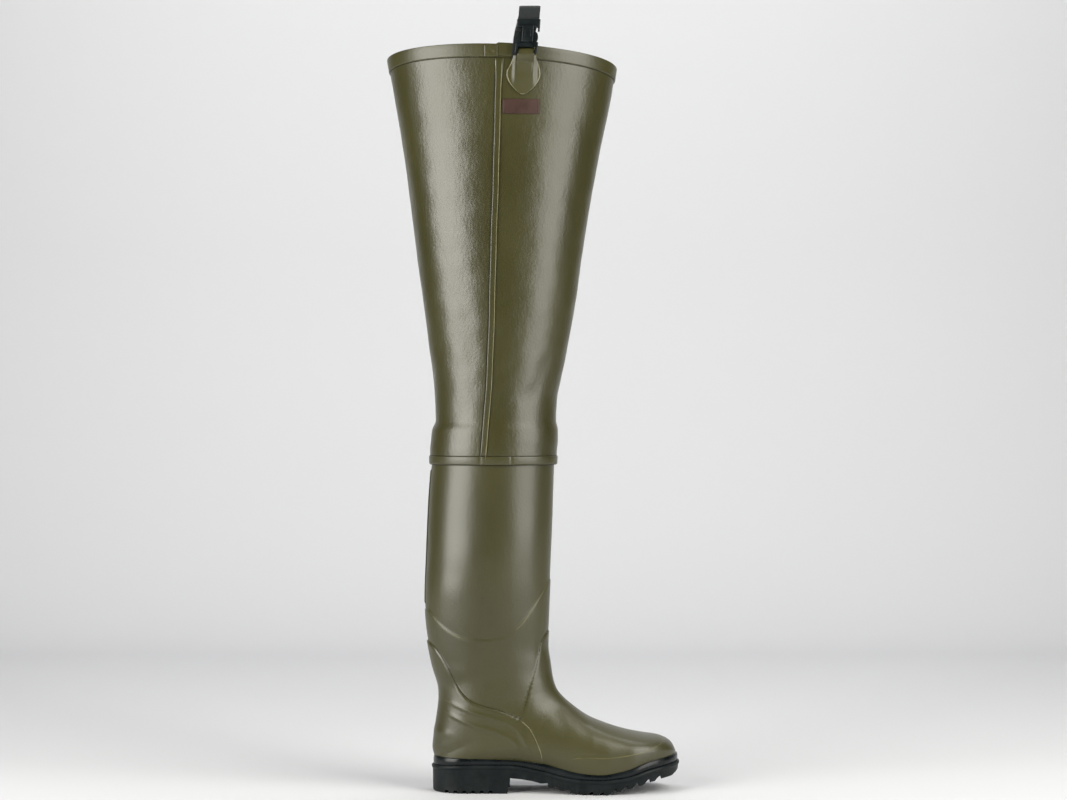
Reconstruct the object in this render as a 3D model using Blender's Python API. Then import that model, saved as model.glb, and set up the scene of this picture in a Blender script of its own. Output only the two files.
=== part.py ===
import math

import bmesh
import bpy
import numpy as np

# Driving sizes in millimetres. The toe points to +X, the outer side of the leg to -Y.
MM = 0.001
GAP = 0.3

# The foot: plan of the outsole, a row for each section
SOLE_BACK = -44.6
SOLE_TOE = 256.7
HEEL_ROUND = 40.0
TOE_ROUND = 64.0
TOE_POWER = 2.3
#        x     half  centre
PLAN = (
    (-44.6, 38.5, 0.0),
    (20.0, 38.5, -0.3),
    (60.0, 37.0, -2.0),
    (90.0, 39.0, -3.5),
    (120.0, 44.0, -3.4),
    (150.0, 49.5, -2.0),
    (175.0, 52.5, 0.4),
    (200.0, 52.5, 3.6),
    (228.0, 51.0, 8.2),
    (256.7, 50.0, 12.0),
)
EDGE_INSET = 5.0
BAND_INSET = 2.6
WALL = 1.6

# Height of the feather line, where the upper meets the black foxing, and of the outsole's ledge
#        x     feather ledge
SOLE_LINES = (
    (-44.6, 42.0, 31.4),
    (5.0, 42.0, 34.0),
    (46.0, 41.2, 34.0),
    (87.0, 37.0, 28.0),
    (118.0, 29.0, 20.5),
    (139.0, 25.0, 17.9),
    (159.0, 23.6, 17.5),
    (190.0, 28.0, 20.5),
    (221.0, 38.0, 29.0),
    (256.7, 43.5, 34.6),
)

# Side outline of the boot
#       x      z
FRONT_LINE = (
    (251.7, 46.0),
    (247.4, 54.6),
    (239.9, 60.7),
    (231.0, 64.5),
    (210.8, 68.0),
    (188.9, 72.9),
    (167.1, 80.1),
    (145.2, 89.9),
    (130.6, 99.6),
    (116.0, 111.7),
    (108.0, 121.0),
    (103.0, 134.0),
    (99.2, 157.0),
    (96.8, 172.0),
    (97.8, 205.0),
    (99.0, 254.0),
    (101.5, 320.0),
    (103.8, 384.0),
    (104.2, 396.0),
    (105.1, 412.0),
    (106.0, 424.0),
    (106.0, 436.0),
)
BACK_LINE = (
    (-39.7, 38.0),
    (-41.2, 43.0),
    (-43.1, 51.0),
    (-42.4, 62.0),
    (-39.6, 82.0),
    (-37.0, 99.0),
    (-35.8, 114.0),
    (-38.0, 131.0),
    (-44.0, 152.0),
    (-50.0, 186.0),
    (-52.8, 217.0),
    (-50.9, 280.0),
    (-47.9, 351.0),
    (-45.3, 386.0),
    (-44.2, 400.0),
    (-44.0, 412.0),
    (-43.0, 424.0),
    (-41.8, 436.0),
)
BOOT_TOP = 434.0

# The sections turn about a pivot in front of the ankle, from level in the leg to upright in the foot
PIVOT_X = 150.0
PIVOT_Z = 135.0
TURN_RADIUS = 80.0
#      spine   half  belly  power  seat
SECTIONS = (
    (-230.0, 46.4, 0.60, 2.4, 1.8),
    (-125.7, 46.4, 0.64, 2.4, 1.8),
    (-84.0, 43.0, 0.66, 2.3, 1.8),
    (-42.0, 42.0, 0.62, 2.2, 1.8),
    (0.0, 43.0, 0.57, 2.1, 1.6),
    (34.0, 46.5, 0.55, 2.1, 1.2),
    (82.0, 53.0, 0.52, 2.1, 0.6),
    (125.0, 56.5, 0.50, 2.1, 0.0),
    (155.0, 58.0, 0.50, 2.1, 0.0),
    (220.0, 58.5, 0.50, 2.0, 0.0),
    (258.0, 58.6, 0.50, 2.0, 0.0),
    (285.0, 59.4, 0.50, 2.0, 0.0),
    (301.0, 59.0, 0.50, 2.0, 0.0),
)
FOOT_BULGE = 1.03
LEG_LEVELS = (418.0, 399.0, 386.0, 340.0, 290.0, 250.0, 217.0, 188.0, 160.0)
ELBOW_TURNS = (0.0, 9.0, 18.0)
ELBOW_PAST_CORNER = (1.2, 4.0, 9.0, 17.0, 27.0, 39.0, 51.0)
FOOT_STEPS = 11
SIDE_STEPS = 8

# Panels seen from the side, as the upper edge of each and its height over the leg
#       x      z
ARC_LINE = (
    (-47.3, 218.6),
    (-34.7, 204.2),
    (-22.0, 194.8),
    (-7.7, 187.9),
    (8.0, 185.9),
    (27.1, 185.5),
    (44.9, 188.6),
    (61.6, 200.8),
    (75.4, 218.1),
    (89.3, 239.7),
    (97.8, 255.1),
)
COUNTER_LINE = (
    (-48.8, 181.0),
    (-38.6, 172.2),
    (-24.8, 152.1),
    (-15.0, 132.3),
    (-6.8, 119.7),
    (5.2, 110.1),
    (22.0, 104.1),
    (42.0, 98.4),
    (62.5, 89.6),
)
VAMP_LINE = (
    (65.5, 91.2),
    (75.4, 127.2),
    (82.0, 148.5),
    (85.6, 166.0),
    (88.0, 179.7),
    (96.2, 193.1),
)
COUNTER_FRONT = (
    (64.0, 88.5),
    (74.8, 78.0),
    (82.6, 63.6),
    (88.0, 49.0),
    (89.8, 35.2),
)
RIBS = (
    ((-30.0, 112.5), (6.4, 98.1), (34.0, 89.7), (58.4, 79.9), (66.4, 66.9), (74.8, 52.5)),
    ((-31.0, 99.3), (3.4, 83.7), (34.0, 74.1), (55.8, 62.9), (62.8, 52.5)),
)
RAND_LINE = ((119.0, 42.0), (137.0, 45.2), (169.3, 44.6), (200.4, 48.5), (226.0, 55.5), (243.0, 62.5))
ARC_RISE = 0.8
VAMP_RISE = 1.8
RAND_RISE = 2.3
COUNTER_RISE = 2.5
RIB_RISE = 3.4
RIB_WIDTH = 3.6

# The thigh, a row for each level
#       z     back   front  half
THIGH = (
    (396.0, -46.4, 106.8, 61.2),
    (412.0, -46.7, 107.6, 62.2),
    (424.0, -45.6, 108.8, 62.2),
    (436.0, -44.3, 108.8, 61.6),
    (448.0, -39.8, 106.5, 59.6),
    (472.0, -40.6, 107.5, 60.0),
    (497.0, -41.9, 112.4, 61.5),
    (533.0, -46.7, 119.7, 63.5),
    (594.0, -55.2, 130.6, 67.5),
    (655.0, -63.7, 139.1, 71.5),
    (715.0, -71.2, 148.8, 75.5),
    (776.0, -79.8, 159.8, 79.5),
    (849.0, -92.5, 174.3, 85.0),
    (878.0, -97.4, 178.8, 87.0),
)
THIGH_WALL = 1.5
THIGH_MIDDLE = 40.0
RIM_TILT_X = -0.036
RIM_TILT_Y = -0.155
RIM_FADE = (690.0, 878.0)
THIGH_LEVELS = (396.0, 412.0, 428.0, 438.0, 447.0, 470.0, 505.0, 570.0, 650.0, 740.0, 815.0, 878.0)
THIGH_SIDES = 36


def table_at(table, x, column):
    # Monotone cubic through one column of a table, so that no row is overshot
    xs = np.array([row[0] for row in table])
    ys = np.array([row[column] for row in table])
    steps = np.diff(xs)
    slopes = np.diff(ys) / steps
    tangents = np.zeros(len(xs))
    tangents[0] = slopes[0]
    tangents[-1] = slopes[-1]
    for i in range(1, len(xs) - 1):
        if slopes[i - 1] * slopes[i] > 0:
            before = 2 * steps[i] + steps[i - 1]
            after = steps[i] + 2 * steps[i - 1]
            tangents[i] = (before + after) / (before / slopes[i - 1] + after / slopes[i])
    x = min(max(x, xs[0]), xs[-1])
    i = min(int(np.searchsorted(xs, x, side="right")) - 1, len(xs) - 2)
    t = (x - xs[i]) / steps[i]
    h00 = (1 + 2 * t) * (1 - t) ** 2
    h10 = t * (1 - t) ** 2
    h01 = t * t * (3 - 2 * t)
    h11 = t * t * (t - 1)
    return (
        h00 * ys[i]
        + h10 * steps[i] * tangents[i]
        + h01 * ys[i + 1]
        + h11 * steps[i] * tangents[i + 1]
    )


def smooth_line(points, steps=12):
    # Centripetal Catmull-Rom curve through the points
    p = [np.array(q, dtype=float) for q in points]
    p = [2 * p[0] - p[1]] + p + [2 * p[-1] - p[-2]]
    line = []
    for i in range(1, len(p) - 2):
        knots = [0.0]
        for a, b in zip(p[i - 1 : i + 2], p[i : i + 3]):
            knots.append(knots[-1] + math.sqrt(float(np.linalg.norm(b - a))))
        for t in np.linspace(knots[1], knots[2], steps, endpoint=False):
            a = [
                ((knots[k + 1] - t) * p[i - 1 + k] + (t - knots[k]) * p[i + k])
                / (knots[k + 1] - knots[k])
                for k in range(3)
            ]
            b = [
                ((knots[k + 2] - t) * a[k] + (t - knots[k]) * a[k + 1])
                / (knots[k + 2] - knots[k])
                for k in range(2)
            ]
            line.append(((knots[2] - t) * b[0] + (t - knots[1]) * b[1]) / (knots[2] - knots[1]))
    line.append(p[-2])
    return np.array(line)


def fade(value, low, high):
    t = min(max((value - low) / (high - low), 0.0), 1.0)
    return t * t * (3 - 2 * t)


# Plan of the foot
SOLE_MIDDLE = (SOLE_BACK + SOLE_TOE) / 2
SOLE_REACH = (SOLE_TOE - SOLE_BACK) / 2


def plan_x(x, inset):
    return SOLE_MIDDLE + (x - SOLE_MIDDLE) * (1 - inset / SOLE_REACH)


def plan_half(x, inset):
    # Half-width at the outsole's own x, drawn in by the inset and closed by round ends
    heel = max(0.0, (SOLE_BACK + HEEL_ROUND - x) / HEEL_ROUND)
    toe = max(0.0, (x - SOLE_TOE + TOE_ROUND) / TOE_ROUND)
    ends = math.sqrt(max(0.0, 1 - heel**2)) * math.sqrt(max(0.0, 1 - toe**TOE_POWER))
    return (table_at(PLAN, x, 1) - inset) * ends


def plan_centre(x):
    return table_at(PLAN, x, 2)


def plan_source(x, inset):
    # The outsole's x that lies at this x once drawn in
    return SOLE_MIDDLE + (x - SOLE_MIDDLE) / (1 - inset / SOLE_REACH)


def feather(x):
    return table_at(SOLE_LINES, x, 1)


def ledge(x):
    return table_at(SOLE_LINES, x, 2)


# Meshes
def material(name, colour, roughness, metallic=0.0):
    made = bpy.data.materials.new(name)
    made.use_nodes = True
    shader = made.node_tree.nodes["Principled BSDF"]
    shader.inputs["Base Color"].default_value = (*colour, 1.0)
    shader.inputs["Roughness"].default_value = roughness
    shader.inputs["Metallic"].default_value = metallic
    return made


def add_object(name, points, faces, finish=None, smooth=True):
    mesh = bpy.data.meshes.new(name)
    mesh.from_pydata([tuple(c * MM for c in p) for p in points], [], faces)
    work = bmesh.new()
    work.from_mesh(mesh)
    bmesh.ops.remove_doubles(work, verts=work.verts, dist=0.002 * MM)
    bmesh.ops.dissolve_degenerate(work, edges=work.edges, dist=0.001 * MM)
    bmesh.ops.triangulate(work, faces=work.faces)
    bmesh.ops.recalc_face_normals(work, faces=work.faces)
    work.to_mesh(mesh)
    work.free()
    if smooth:
        mesh.shade_smooth()
        mesh.set_sharp_from_angle(angle=math.radians(35))
    made = bpy.data.objects.new(name, mesh)
    bpy.context.scene.collection.objects.link(made)
    if finish:
        made.data.materials.append(finish)
    return made


def hide_helper(helper):
    helper.hide_render = True
    helper.display_type = "WIRE"
    return helper


def boolean(target, operation, other, solver="EXACT"):
    modifier = target.modifiers.new(other.name, "BOOLEAN")
    modifier.operation = operation
    modifier.object = other
    modifier.solver = solver
    return target


def loft_faces(rings, size, first_cap=True, last_cap=True):
    # Faces between rings of equal size, with a cap on the first and last
    faces = []
    for i in range(rings - 1):
        for j in range(size):
            a = i * size + j
            b = i * size + (j + 1) % size
            faces.append((a, b, b + size, a + size))
    if first_cap:
        faces.append(tuple(range(size)))
    if last_cap:
        faces.append(tuple(reversed(range((rings - 1) * size, rings * size))))
    return faces


def plan_stations(extra=()):
    # Places along the foot, closer at the round ends, with the extra ones kept
    ends = [math.cos(math.pi / 2 * i / 6) for i in range(7)]
    heel = [SOLE_BACK + HEEL_ROUND * (1 - e) for e in ends]
    toe = [SOLE_TOE - TOE_ROUND * (1 - e) for e in ends]
    middle = [heel[-1] + (toe[-1] - heel[-1]) * i / 14 for i in range(1, 14)]
    found = sorted(set(heel + middle + toe) | set(extra))
    return [x for x in found if x in extra or all(abs(x - other) > 1.5 for other in extra)]


def plan_layers(name, stations, layers, finish, under=None):
    # Layers of the plan outline from low to high, each an inset and a height along the foot
    rings = []
    for x in stations:
        half = [plan_half(x, inset) for inset, _ in layers]
        shifted = [plan_x(x, inset) for inset, _ in layers]
        rows = list(zip(shifted, half, [height(x) for _, height in layers]))
        c = plan_centre(x)
        ring = [(px, c - h, z) for px, h, z in rows]
        ring += [(px, c + h, z) for px, h, z in rows[::-1]]
        if under:
            px, h, _ = rows[0]
            groove = min(GROOVE_HALF, h)
            lug, root = under(x)
            ring += [(px, c + groove, lug), (px, c + groove, root)]
            ring += [(px, c - groove, root), (px, c - groove, lug)]
        rings.append(ring)
    points = [p for ring in rings for p in ring]
    return add_object(name, points, loft_faces(len(rings), len(rings[0])), finish)


# The boot's own surface
FRONT = smooth_line(FRONT_LINE)
BACK = smooth_line(BACK_LINE)
FRONT_TURN = np.degrees(np.arctan2(PIVOT_Z - FRONT[:, 1], PIVOT_X - FRONT[:, 0]))
BACK_TURN = np.degrees(np.arctan2(PIVOT_Z - BACK[:, 1], PIVOT_X - BACK[:, 0]))
EDGE_DROP = 2.5
RUN_BELOW = 6.0
TOE_TAPER = 12.0
LEAST_SPAN = 3.0
OPEN_ABOVE = 8.0


def edge_height(x):
    return feather(plan_source(x, EDGE_INSET)) - EDGE_DROP


EDGE_X = np.linspace(plan_x(SOLE_BACK, EDGE_INSET), plan_x(SOLE_TOE, EDGE_INSET), 160)
EDGE = np.array([(x, edge_height(x)) for x in EDGE_X])
EDGE_TURN = np.degrees(np.arctan2(PIVOT_Z - EDGE[:, 1], PIVOT_X - EDGE[:, 0]))
CORNER_TURN = float(EDGE_TURN[0])
TOE_X = float(EDGE[-1, 0])


def reach(line, turns, turn):
    # Distance from the pivot to a line, along a ray turned down from level
    spans = np.hypot(line[:, 0] - PIVOT_X, line[:, 1] - PIVOT_Z)
    order = np.argsort(turns)
    return float(np.interp(turn, turns[order], spans[order]))


def boot_section(kind, value):
    # Origin, direction, spine place, near and far reach, and whether it ends at the feather edge
    if kind == "leg":
        near = PIVOT_X - float(np.interp(value, FRONT[:, 1], FRONT[:, 0]))
        far = PIVOT_X - float(np.interp(value, BACK[:, 1], BACK[:, 0]))
        return (PIVOT_X, value), (-1.0, 0.0), value - PIVOT_Z, near, far, False
    if kind == "elbow":
        angle = math.radians(value)
        way = (-math.cos(angle), -math.sin(angle))
        near = reach(FRONT, FRONT_TURN, value)
        at_edge = value > CORNER_TURN - 0.01
        far = reach(EDGE, EDGE_TURN, value) if at_edge else reach(BACK, BACK_TURN, value)
        return (PIVOT_X, PIVOT_Z), way, -angle * TURN_RADIUS, near, far, at_edge
    spine = -math.pi / 2 * TURN_RADIUS - (value - PIVOT_X)
    order = np.argsort(FRONT[:, 0])
    near = PIVOT_Z - float(np.interp(value, FRONT[order, 0], FRONT[order, 1]))
    return (value, PIVOT_Z), (0.0, -1.0), spine, near, PIVOT_Z - edge_height(value), True


def boot_sections(top):
    found = [("leg", top)] + [("leg", z) for z in LEG_LEVELS if z < top]
    found += [("elbow", turn) for turn in ELBOW_TURNS]
    found.append(("elbow", CORNER_TURN))
    found += [("elbow", CORNER_TURN + turn) for turn in ELBOW_PAST_CORNER]
    for i in range(FOOT_STEPS + 1):
        share = math.sin(math.pi / 2 * i / FOOT_STEPS)
        found.append(("foot", PIVOT_X + (TOE_X - PIVOT_X) * share))
    return found


def boot_ring(kind, value, grow):
    origin, way, spine, near, far, at_edge = boot_section(kind, value)
    half, belly, power, seat = (table_at(SECTIONS, spine, c) for c in (1, 2, 3, 4))
    grow = grow - seat
    stretch = 1.0
    end = 0.0
    if at_edge:
        source = plan_source(origin[0] + way[0] * far, EDGE_INSET)
        end = plan_half(source, EDGE_INSET - grow)
    else:
        far += grow
    if kind == "foot":
        share = (value - PIVOT_X) / (TOE_X - PIVOT_X)
        stretch = 1 + share * grow / (TOE_X - PIVOT_X)
        toe_left = min(1.0, (TOE_X - value) / TOE_TAPER)
        near = min(near - grow * toe_left, far - LEAST_SPAN)
        widest = end * FOOT_BULGE
    else:
        near -= grow
        widest = max(half + grow, end * FOOT_BULGE)
    lateral = []
    medial = []
    for i in range(SIDE_STEPS + 1):
        v = 0.5 + 0.5 * math.cos(math.pi * i / SIDE_STEPS)
        if v < belly:
            y = widest * math.sqrt(max(0.0, 1 - (1 - v / belly) ** power))
        else:
            lost = 1 - (end / widest) ** 2 if widest > 0 else 0.0
            y = widest * math.sqrt(max(0.0, 1 - lost * ((v - belly) / (1 - belly)) ** power))
        r = near + (far - near) * v
        x = origin[0] + way[0] * r
        z = origin[1] + way[1] * r
        if kind == "foot":
            x = PIVOT_X + (x - PIVOT_X) * stretch
        c = plan_centre(plan_source(min(max(x, SOLE_BACK), SOLE_TOE), EDGE_INSET)) * fade(-z, -170, -60)
        lateral.append((x, c - y, z))
        medial.append((x, c + y, z))
    ring = lateral + medial[-2::-1]
    low = RUN_BELOW - grow if at_edge and (end > 1.0 or kind == "foot") else 0.0
    first = (ring[0][0], ring[0][1], ring[0][2] - low)
    last = (ring[-1][0], ring[-1][1], ring[-1][2] - low)
    return [first] + ring + [last]


def boot_form(name, grow, top=BOOT_TOP):
    # The whole boot as a closed form, run on below the feather edge
    points = []
    rings = boot_sections(top)
    for kind, value in rings:
        points += boot_ring(kind, value, grow)
    size = len(points) // len(rings)
    return add_object(name, points, loft_faces(len(rings), size, last_cap=False))


# Forms cut from the side. Nested forms lie so close together that the exact solver leaves cracks.
NESTED = "MANIFOLD"


def side_block(name, outline, reach_y=130.0):
    # A flat outline seen from the side, run straight through from one side to the other
    points = [(x, -reach_y, z) for x, z in outline] + [(x, reach_y, z) for x, z in outline]
    return hide_helper(add_object(name, points, loft_faces(2, len(outline)), smooth=False))


def panel(name, rise, outline):
    form = hide_helper(boot_form(name, rise))
    return boolean(form, "INTERSECT", side_block(name + "_block", outline), NESTED)


def band_outline(line, width):
    # A strip of even width along a line
    path = smooth_line(line, 2)
    ways = np.gradient(path, axis=0)
    ways /= np.linalg.norm(ways, axis=1)[:, None]
    sides = np.stack([-ways[:, 1], ways[:, 0]], axis=1) * width / 2
    return [tuple(p) for p in path + sides] + [tuple(p) for p in (path - sides)[::-1]]


FAR_BACK = -90.0
FAR_FRONT = 330.0
FAR_BELOW = -30.0
SEAT_INSET = -8.0
SEAT_LIFT = 0.05


def make_sole_seat():
    # The tray that the foxing makes, with the gap to the upper, for cutting the upper's lower edge
    def rim(x):
        return feather(x) + GAP

    layers = (
        (SEAT_INSET, lambda x: FAR_BELOW),
        (SEAT_INSET, rim),
        (EDGE_INSET, rim),
        (EDGE_INSET, lambda x: feather(x) - EDGE_DROP + SEAT_LIFT),
    )
    return plan_layers("sole_seat", plan_stations(), layers, None)


def make_upper(finish):
    arc = [tuple(p) for p in smooth_line(ARC_LINE, 2)]
    counter = [tuple(p) for p in smooth_line(COUNTER_LINE, 2)]
    vamp = [tuple(p) for p in smooth_line(VAMP_LINE, 2)]
    front = [tuple(p) for p in smooth_line(COUNTER_FRONT, 2)]
    rand = [tuple(p) for p in smooth_line(RAND_LINE, 2)]
    below = [(FAR_FRONT, FAR_BELOW), (FAR_BACK, FAR_BELOW)]
    arc_sheet = [(FAR_BACK, 226.0)] + arc + [(FAR_FRONT, 262.0)] + below
    vamp_sheet = [(FAR_BACK, 186.0)] + counter + vamp + [(FAR_FRONT, 199.0)] + below
    heel_sheet = [(x, z - GAP) for x, z in [(FAR_BACK, 186.0)] + counter + front[1:]]
    heel_sheet += [(front[-1][0], FAR_BELOW), (FAR_BACK, FAR_BELOW)]
    rand_sheet = [(rand[0][0], FAR_BELOW)] + rand + [(FAR_FRONT, 72.0), (FAR_FRONT, FAR_BELOW)]
    upper = boot_form("upper", 0.0)
    upper.data.materials.append(finish)
    for name, rise, sheet in (
        ("shin_panel", ARC_RISE, arc_sheet),
        ("vamp_panel", VAMP_RISE, vamp_sheet),
        ("rand_panel", RAND_RISE, rand_sheet),
        ("counter_panel", COUNTER_RISE, heel_sheet),
        ("rib_high", RIB_RISE, band_outline(RIBS[0], RIB_WIDTH)),
        ("rib_low", RIB_RISE, band_outline(RIBS[1], RIB_WIDTH)),
    ):
        boolean(upper, "UNION", panel(name, rise, sheet), NESTED)
    foot_space = hide_helper(boot_form("foot_space", -WALL, BOOT_TOP + OPEN_ABOVE))
    boolean(upper, "DIFFERENCE", foot_space, NESTED)
    boolean(upper, "DIFFERENCE", hide_helper(make_sole_seat()), NESTED)
    return upper


BACK_STRIP_HALF = 6.5
BACK_STRIP_THICK = 0.8
BACK_STRIP_Z = (226.0, 388.0)


def back_point(z, y, grow):
    # The back of the leg at this height, a little to either side of its middle
    _, _, spine, near, far, _ = boot_section("leg", z)
    half, belly, power, seat = (table_at(SECTIONS, spine, c) for c in (1, 2, 3, 4))
    span = far - near
    v = belly + (1 - belly) * (1 - (abs(y) / half) ** 2) ** (1 / power)
    return PIVOT_X - near - span * v - grow + seat, y, z


def make_back_strip(finish):
    points = []
    count = 14
    across = [BACK_STRIP_HALF * (k / 2 - 1) for k in range(5)]
    for i in range(count):
        z = BACK_STRIP_Z[0] + (BACK_STRIP_Z[1] - BACK_STRIP_Z[0]) * i / (count - 1)
        points += [back_point(z, y, GAP) for y in across]
        points += [back_point(z, y, GAP + BACK_STRIP_THICK) for y in across[::-1]]
    return add_object("back_strip", points, loft_faces(count, 2 * len(across)), finish)


# The sole
HEEL_BREAST = 47.0
BREAST_STEP = 3.0
BREAST_STEP_Z = 8.0
LUG_DEPTH = 4.2
LUG_LAND = 6.0
#       x      z
ARCH = ((50.0, 18.5), (64.0, 17.2), (77.0, 15.4), (88.0, 12.6))
LUG_TIPS = (
    (96.0, 9.0),
    (109.0, 5.6),
    (123.0, 2.2),
    (137.0, 0.0),
    (151.0, 0.0),
    (165.0, 0.0),
    (179.0, 3.6),
    (192.5, 6.7),
    (206.0, 10.2),
    (220.0, 14.0),
    (234.0, 17.0),
)
TOE_UNDER = ((248.5, 19.0), (256.7, 24.5))
HEEL_LUGS = (-29.1, 24.4)
HEEL_LUG_PITCH = 10.7
HEEL_LUG_DEPTH = 3.2
HEEL_LUG_GAP = 4.2
HEEL_LUG_LAND = 6.0
UPRIGHT = 0.25
GROOVE_HALF = 4.5
# The lip round the outsole: insets and how far each lies below the ledge
LUG_INSET = 1.8
SIDE_INSET = 1.3
LIP_INSET = 0.2
LIP_ROUND = 0.8
SIDE_TOP = 5.0
LIP_LOW = 4.2
LIP_HIGH = 1.0
# The foxing band above it
BAND_BULGE = 0.4
RIM_ROUND = 0.8


def tread_line():
    # Underside from heel to toe: x, lug height and the height between lugs
    line = [(SOLE_BACK, 0.8, 0.8), (-41.0, 0.0, 0.0), (HEEL_LUGS[0], 0.0, 0.0)]
    x = HEEL_LUGS[0]
    while x < HEEL_LUGS[1] - 1:
        line.append((x + UPRIGHT, HEEL_LUG_DEPTH, HEEL_LUG_DEPTH))
        line.append((x + HEEL_LUG_GAP, HEEL_LUG_DEPTH, HEEL_LUG_DEPTH))
        x += HEEL_LUG_PITCH
        line.append((x - HEEL_LUG_LAND, 0.0, 0.0))
        line.append((x, 0.0, 0.0))
    line.append((x + UPRIGHT, HEEL_LUG_DEPTH, HEEL_LUG_DEPTH))
    line.append((x + HEEL_LUG_GAP, HEEL_LUG_DEPTH, HEEL_LUG_DEPTH))
    line.append((x + HEEL_LUG_GAP + UPRIGHT, 0.0, 0.0))
    line.append((HEEL_BREAST, 0.0, 0.0))
    line.append((HEEL_BREAST + UPRIGHT, BREAST_STEP_Z, BREAST_STEP_Z))
    line.append((HEEL_BREAST + BREAST_STEP - UPRIGHT, BREAST_STEP_Z, BREAST_STEP_Z))
    line += [(x, z, z) for x, z in ARCH]
    last = LUG_TIPS[-1]
    for (x, z), (x2, z2) in zip(LUG_TIPS, LUG_TIPS[1:]):
        root = z + LUG_DEPTH
        line.append((x - UPRIGHT, root, root))
        line.append((x, z, root))
        line.append((x + LUG_LAND, z + (z2 - z) * 0.3, root))
        line.append((x2 - 3.0, (z2 + LUG_DEPTH) * 0.8 + z * 0.2, z2 + LUG_DEPTH))
    line.append((last[0] - UPRIGHT, last[1] + LUG_DEPTH, last[1] + LUG_DEPTH))
    line.append((last[0], last[1], last[1]))
    line += [(x, z, z) for x, z in TOE_UNDER]
    return line


def make_outsole(finish):
    line = tread_line()
    xs = [row[0] for row in line]
    lugs = [row[1] for row in line]
    roots = [row[2] for row in line]

    def under(x):
        return float(np.interp(x, xs, lugs)), float(np.interp(x, xs, roots))

    layers = (
        (LUG_INSET, lambda x: under(x)[0]),
        (SIDE_INSET, lambda x: ledge(x) - SIDE_TOP),
        (LIP_INSET, lambda x: ledge(x) - LIP_LOW),
        (0.0, lambda x: ledge(x) - LIP_HIGH),
        (LIP_ROUND, lambda x: ledge(x)),
    )
    return plan_layers("outsole", plan_stations(xs), layers, finish, under)


def make_midsole(finish):
    rim_inside = EDGE_INSET - GAP

    def shelf(x):
        return feather(x) - EDGE_DROP - GAP

    layers = (
        (BAND_INSET, lambda x: ledge(x) + GAP),
        (BAND_INSET - BAND_BULGE, lambda x: (ledge(x) + feather(x)) / 2),
        (BAND_INSET, lambda x: feather(x) - RIM_ROUND),
        (BAND_INSET + RIM_ROUND, lambda x: feather(x)),
        (rim_inside, lambda x: feather(x)),
        (rim_inside, shelf),
    )
    return plan_layers("midsole", plan_stations(), layers, finish)


INSOLE_THICKNESS = 4.0
INSOLE_INSET = EDGE_INSET + 5.2


def make_insole(finish):
    def bed(x):
        return feather(x) - EDGE_DROP

    layers = ((INSOLE_INSET, bed), (INSOLE_INSET, lambda x: bed(x) + INSOLE_THICKNESS))
    return plan_layers("insole", plan_stations(), layers, finish)


# The thigh's own surface
def thigh_lift(level, x, y):
    return fade(level, *RIM_FADE) * (RIM_TILT_X * (x - THIGH_MIDDLE) + RIM_TILT_Y * y)


def thigh_size(level, grow):
    back, front, half = (table_at(THIGH, level, column) for column in (1, 2, 3))
    return (back + front) / 2, (front - back) / 2 + grow, half + grow


def thigh_point(level, angle, grow):
    # The angle turns from the toe side, through the outer side, to the back
    middle, reach_x, half = thigh_size(level, grow)
    x = middle + reach_x * math.cos(angle)
    y = -half * math.sin(angle)
    return x, y, level + thigh_lift(level, x, y)


def thigh_side(x, z, grow):
    # Point of the outer side at this x and true height
    level = z
    y = 0.0
    for _ in range(12):
        middle, reach_x, half = thigh_size(level, grow)
        y = -half * math.sqrt(max(0.0, 1 - ((x - middle) / reach_x) ** 2))
        level = z - thigh_lift(level, x, y)
    return x, y, z


def turned_ring(name, profile, sides, finish):
    # A closed profile of levels and growths, carried round the thigh
    points = []
    for i in range(sides):
        angle = 2 * math.pi * i / sides
        points += [thigh_point(level, angle, grow) for level, grow in profile]
    size = len(profile)
    faces = loft_faces(sides, size, first_cap=False, last_cap=False)
    last = (sides - 1) * size
    for j in range(size):
        k = (j + 1) % size
        faces.append((last + j, last + k, k, j))
    return add_object(name, points, faces, finish)


def make_thigh(finish):
    profile = [(level, 0.0) for level in THIGH_LEVELS]
    profile += [(level, -THIGH_WALL) for level in THIGH_LEVELS[::-1]]
    return turned_ring("thigh_shaft", profile, THIGH_SIDES, finish)


BAND_LOW = 395.0
BAND_HIGH = 405.0
BAND_THICK = 1.0


def make_knee_band(finish):
    inner = GAP
    outer = GAP + BAND_THICK
    profile = ((BAND_LOW, inner), (BAND_LOW + 0.6, outer), (BAND_HIGH - 0.6, outer), (BAND_HIGH, inner))
    return turned_ring("knee_band", profile, THIGH_SIDES, finish)


BINDING_HEIGHT = 14.0
BINDING_INSIDE = 9.0
BINDING_THICK = 1.2
THIGH_TOP = 878.0


def make_binding(finish):
    low = THIGH_TOP - BINDING_HEIGHT
    inside = THIGH_TOP - BINDING_INSIDE
    cap = THIGH_TOP + GAP
    inner = -THIGH_WALL - GAP
    profile = (
        (low, GAP),
        (low + 0.5, GAP + BINDING_THICK),
        (cap + 0.4, GAP + BINDING_THICK),
        (cap + BINDING_THICK, 0.4),
        (cap + BINDING_THICK, -THIGH_WALL - 0.4),
        (cap + 0.4, inner - BINDING_THICK),
        (inside, inner - BINDING_THICK),
        (inside, inner),
        (cap, inner),
        (cap, GAP),
    )
    return turned_ring("collar_binding", profile, THIGH_SIDES, finish)


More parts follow.
